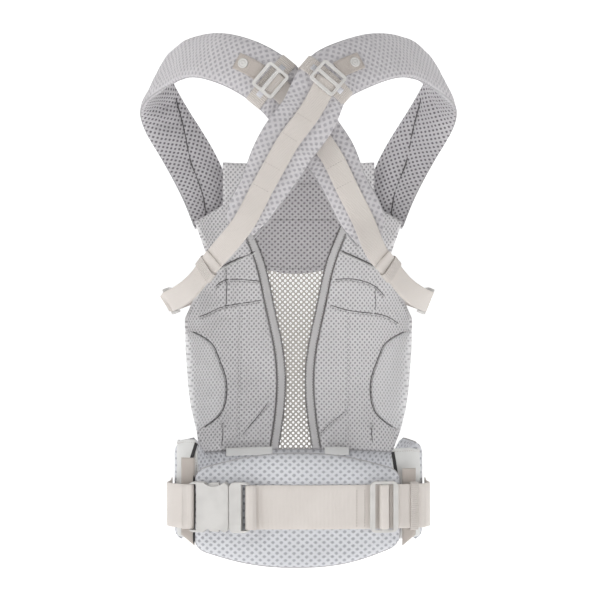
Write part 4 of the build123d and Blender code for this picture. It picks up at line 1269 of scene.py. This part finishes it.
def on_lumbar(radius, x):
    """Origin, direction along the waist to the right, and outwards, on the lumbar curve."""
    angle = math.asin(x / radius)
    out = np.array((math.sin(angle), -math.cos(angle), 0.0))
    return np.array((0.0, LUMBAR_Y, 0.0)) + radius * out, np.array((-out[1], out[0], 0.0)), out


origin, waist_x, waist_z = on_lumbar(BUCKLE_R, BUCKLE_X)
height = (BAR + WEB_T) / 2 + AIR


def waist_route(side, bar_at, lumbar_xs=()):
    """Middle line of the waist webbing: over the buckle's bar, over the pad, round the hip."""
    turn = [origin + waist_x * x + waist_z * z for x, z in u_turn(bar_at, side, TURN_REACH, height)][::-1]
    places = [turn[-1]] + [on_lumbar(WEB_R, x)[0] for x in lumbar_xs]
    places += [np.array((side * x, y, 0.0)) for x, y in HIP_END]
    return np.concatenate([turn[:-1], through(places, 2.5)])


def waist_outline(points):
    """Section of the webbing, a little thicker at its sewn folds."""
    fold = np.zeros(len(points))
    for x in FOLDS:
        fold += 0.7 * np.exp(-((points[:, 0] - x) / 2.2) ** 2)
    sections = np.stack([WAIST_SECTION] * len(points))
    return sections * np.stack([np.ones(len(points)), 1 + fold], -1)[:, None, :]


left_route = waist_route(LEFT, -FEMALE + BAR / 2)
left_band = sweep(
    "waist_webbing_left_tape", left_route, UP, WAIST_SECTION, WAIST_WEBBING,
    body=None, slot="webbing", stands_for=["waist_webbing_left"],
)
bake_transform(left_band)

right_route = waist_route(RIGHT, MALE + AIR - BAR / 2, range(-14, 140, 19))
sweep(
    "waist_webbing_right_tape", right_route, UP, waist_outline(right_route), WAIST_WEBBING,
    slot="webbing", stands_for=["waist_webbing_right"],
)
tail = LUMBAR.place(np.linspace(*LUMBAR.angle_at(TAIL_X), 18), 0.0, WEB_R + TAIL_LIFT - LUMBAR_R)
sweep("waist_webbing_right_tail", tail, UP, WAIST_SECTION, WAIST_WEBBING, slot="webbing")

glide_origin, glide_x, glide_z = on_lumbar(GLIDE_R, GLIDE_X)
half_arch = [(4.4, -1.8), (4.4, 0.9), (3.6, 2.5), (1.8, 2.9)]
arch = through([(-x, out) for x, out in half_arch] + half_arch[::-1], 0.8)
sweep(
    "waist_webbing_turn_tape", glide_origin + arch[:, :1] * glide_x + arch[:, 1:] * glide_z, UP,
    WAIST_SECTION, WAIST_WEBBING, body="glide", slot="webbing", stands_for=["waist_webbing_turn"],
)
keeper_origin, keeper_x, keeper_z = on_lumbar(WEB_R + TAIL_LIFT / 2, KEEPER_X)
loop_round(
    "waist_keeper_elastic", keeper_origin, keeper_x, UP, keeper_z, (53.4, 7.8), (10.0, 1.2),
    ELASTIC, body="waist_keeper", slot="elastic", stands_for=["waist_keeper"],
)
fold_lines = []
for x in FOLDS:
    place, _, out = on_lumbar(WEB_R + 1.75, x)
    fold_lines.append(np.array([place - UP * 22.5, place + UP * 22.5]))
thread(
    "waist_webbing_stitching", fold_lines, PALE_THREAD, radius=0.32, stitch=(2.4, 0.9), slot="webbing",
)

# ---------------------------------------------------------------- seams and hard parts
thread("panel_seams", panel_seams, SHADOW_THREAD, radius=0.55, slot="panel_mesh")
# painted highlight along the hem's fold, drawn as pale thread
thread("hem_painted_highlight", hem_highlights, WING_FABRIC, radius=0.8, slot="panel_mesh")
thread("hem_shadow", hem_shadows, SHADOW_THREAD, radius=0.7, slot="panel_mesh")
thread("strip_edging", strip_edges, THREAD, radius=0.5, slot="binding")
thread("panel_stitching", panel_stitches, THREAD, radius=0.3, stitch=(2.4, 1.0), slot="panel_mesh")

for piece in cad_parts.values():
    if piece.hide_render:
        continue
    piece.data.materials.clear()
    piece.data.materials.append(PLASTIC)

# ---------------------------------------------------------------- floor, light and camera
FLOOR_Z = -0.135
STUDIO_X, STUDIO_FRONT, WALL_TOP = 25.0, -30.0, 8.0
BEND_FROM, BEND_R = 2.2, 1.5        # where the floor starts to rise behind the object


def studio_sweep():
    """Floor that curves up into a backdrop behind the object, with far walls on the other sides."""
    profile = [(STUDIO_FRONT, WALL_TOP), (STUDIO_FRONT, FLOOR_Z), (BEND_FROM, FLOOR_Z)]
    for turn in np.linspace(0, math.pi / 2, 24):
        profile.append((BEND_FROM + BEND_R * math.sin(turn), FLOOR_Z + BEND_R * (1 - math.cos(turn))))
    back = BEND_FROM + BEND_R
    profile.append((back, WALL_TOP))
    points = [(x, y, z) for y, z in profile for x in (-STUDIO_X, STUDIO_X)]
    faces = [(2 * i, 2 * i + 1, 2 * i + 3, 2 * i + 2) for i in range(len(profile) - 1)]
    corners = (STUDIO_FRONT, FLOOR_Z), (back, FLOOR_Z), (back, WALL_TOP), (STUDIO_FRONT, WALL_TOP)
    for x in (-STUDIO_X, STUDIO_X):
        first = len(points)
        points += [(x, y, z) for y, z in corners]
        faces.append(tuple(range(first, first + 4)))
    mesh = bpy.data.meshes.new("studio")
    mesh.from_pydata(points, [], faces)
    mesh.polygons.foreach_set("use_smooth", [True] * len(faces))
    studio = bpy.data.objects.new("studio", mesh)
    bpy.context.scene.collection.objects.link(studio)
    paper = bpy.data.materials.new("studio_paper")
    paper.use_nodes = True
    shader = paper.node_tree.nodes["Principled BSDF"]
    shader.inputs["Base Color"].default_value = (0.93, 0.93, 0.93, 1)
    shader.inputs["Roughness"].default_value = 0.9
    shader.inputs["Emission Color"].default_value = (1, 1, 1, 1)
    shader.inputs["Emission Strength"].default_value = 0.54
    mesh.materials.append(paper)


def soft_light(name, place, size, power):
    lamp = bpy.data.lights.new(name, "AREA")
    lamp.shape = "DISK"
    lamp.size = size
    lamp.energy = power
    light = bpy.data.objects.new(name, lamp)
    light.location = place
    light.visible_camera = False
    target = np.array((0.0, 0.0, 0.23))
    aim = target - np.array(place)
    from_up = math.atan2(math.hypot(aim[0], aim[1]), -aim[2])
    light.rotation_euler = (from_up, 0, math.atan2(aim[1], aim[0]) - math.pi / 2)
    bpy.context.scene.collection.objects.link(light)


studio_sweep()
soft_light("key", (-1.5, -1.4, 1.7), 0.7, 11.5)
soft_light("fill", (1.6, -1.7, 0.7), 1.6, 3)
soft_light("top", (0.1, 0.2, 2.2), 1.4, 4)

world = bpy.data.worlds.new("studio_air")
bpy.context.scene.world = world
world.use_nodes = True
world.node_tree.nodes["Background"].inputs["Color"].default_value = (1, 1, 1, 1)
world.node_tree.nodes["Background"].inputs["Strength"].default_value = 0.22
bpy.context.scene.view_settings.view_transform = "Standard"

camera = bpy.data.cameras.new("camera")
camera.sensor_width = 36.0
camera.lens = 132.4
camera.clip_end = 50.0
eye = bpy.data.objects.new("camera", camera)
eye.location = (0.0018, -2.600, 0.234)
eye.rotation_euler = (math.pi / 2, 0, 0)
bpy.context.scene.collection.objects.link(eye)
bpy.context.scene.camera = eye
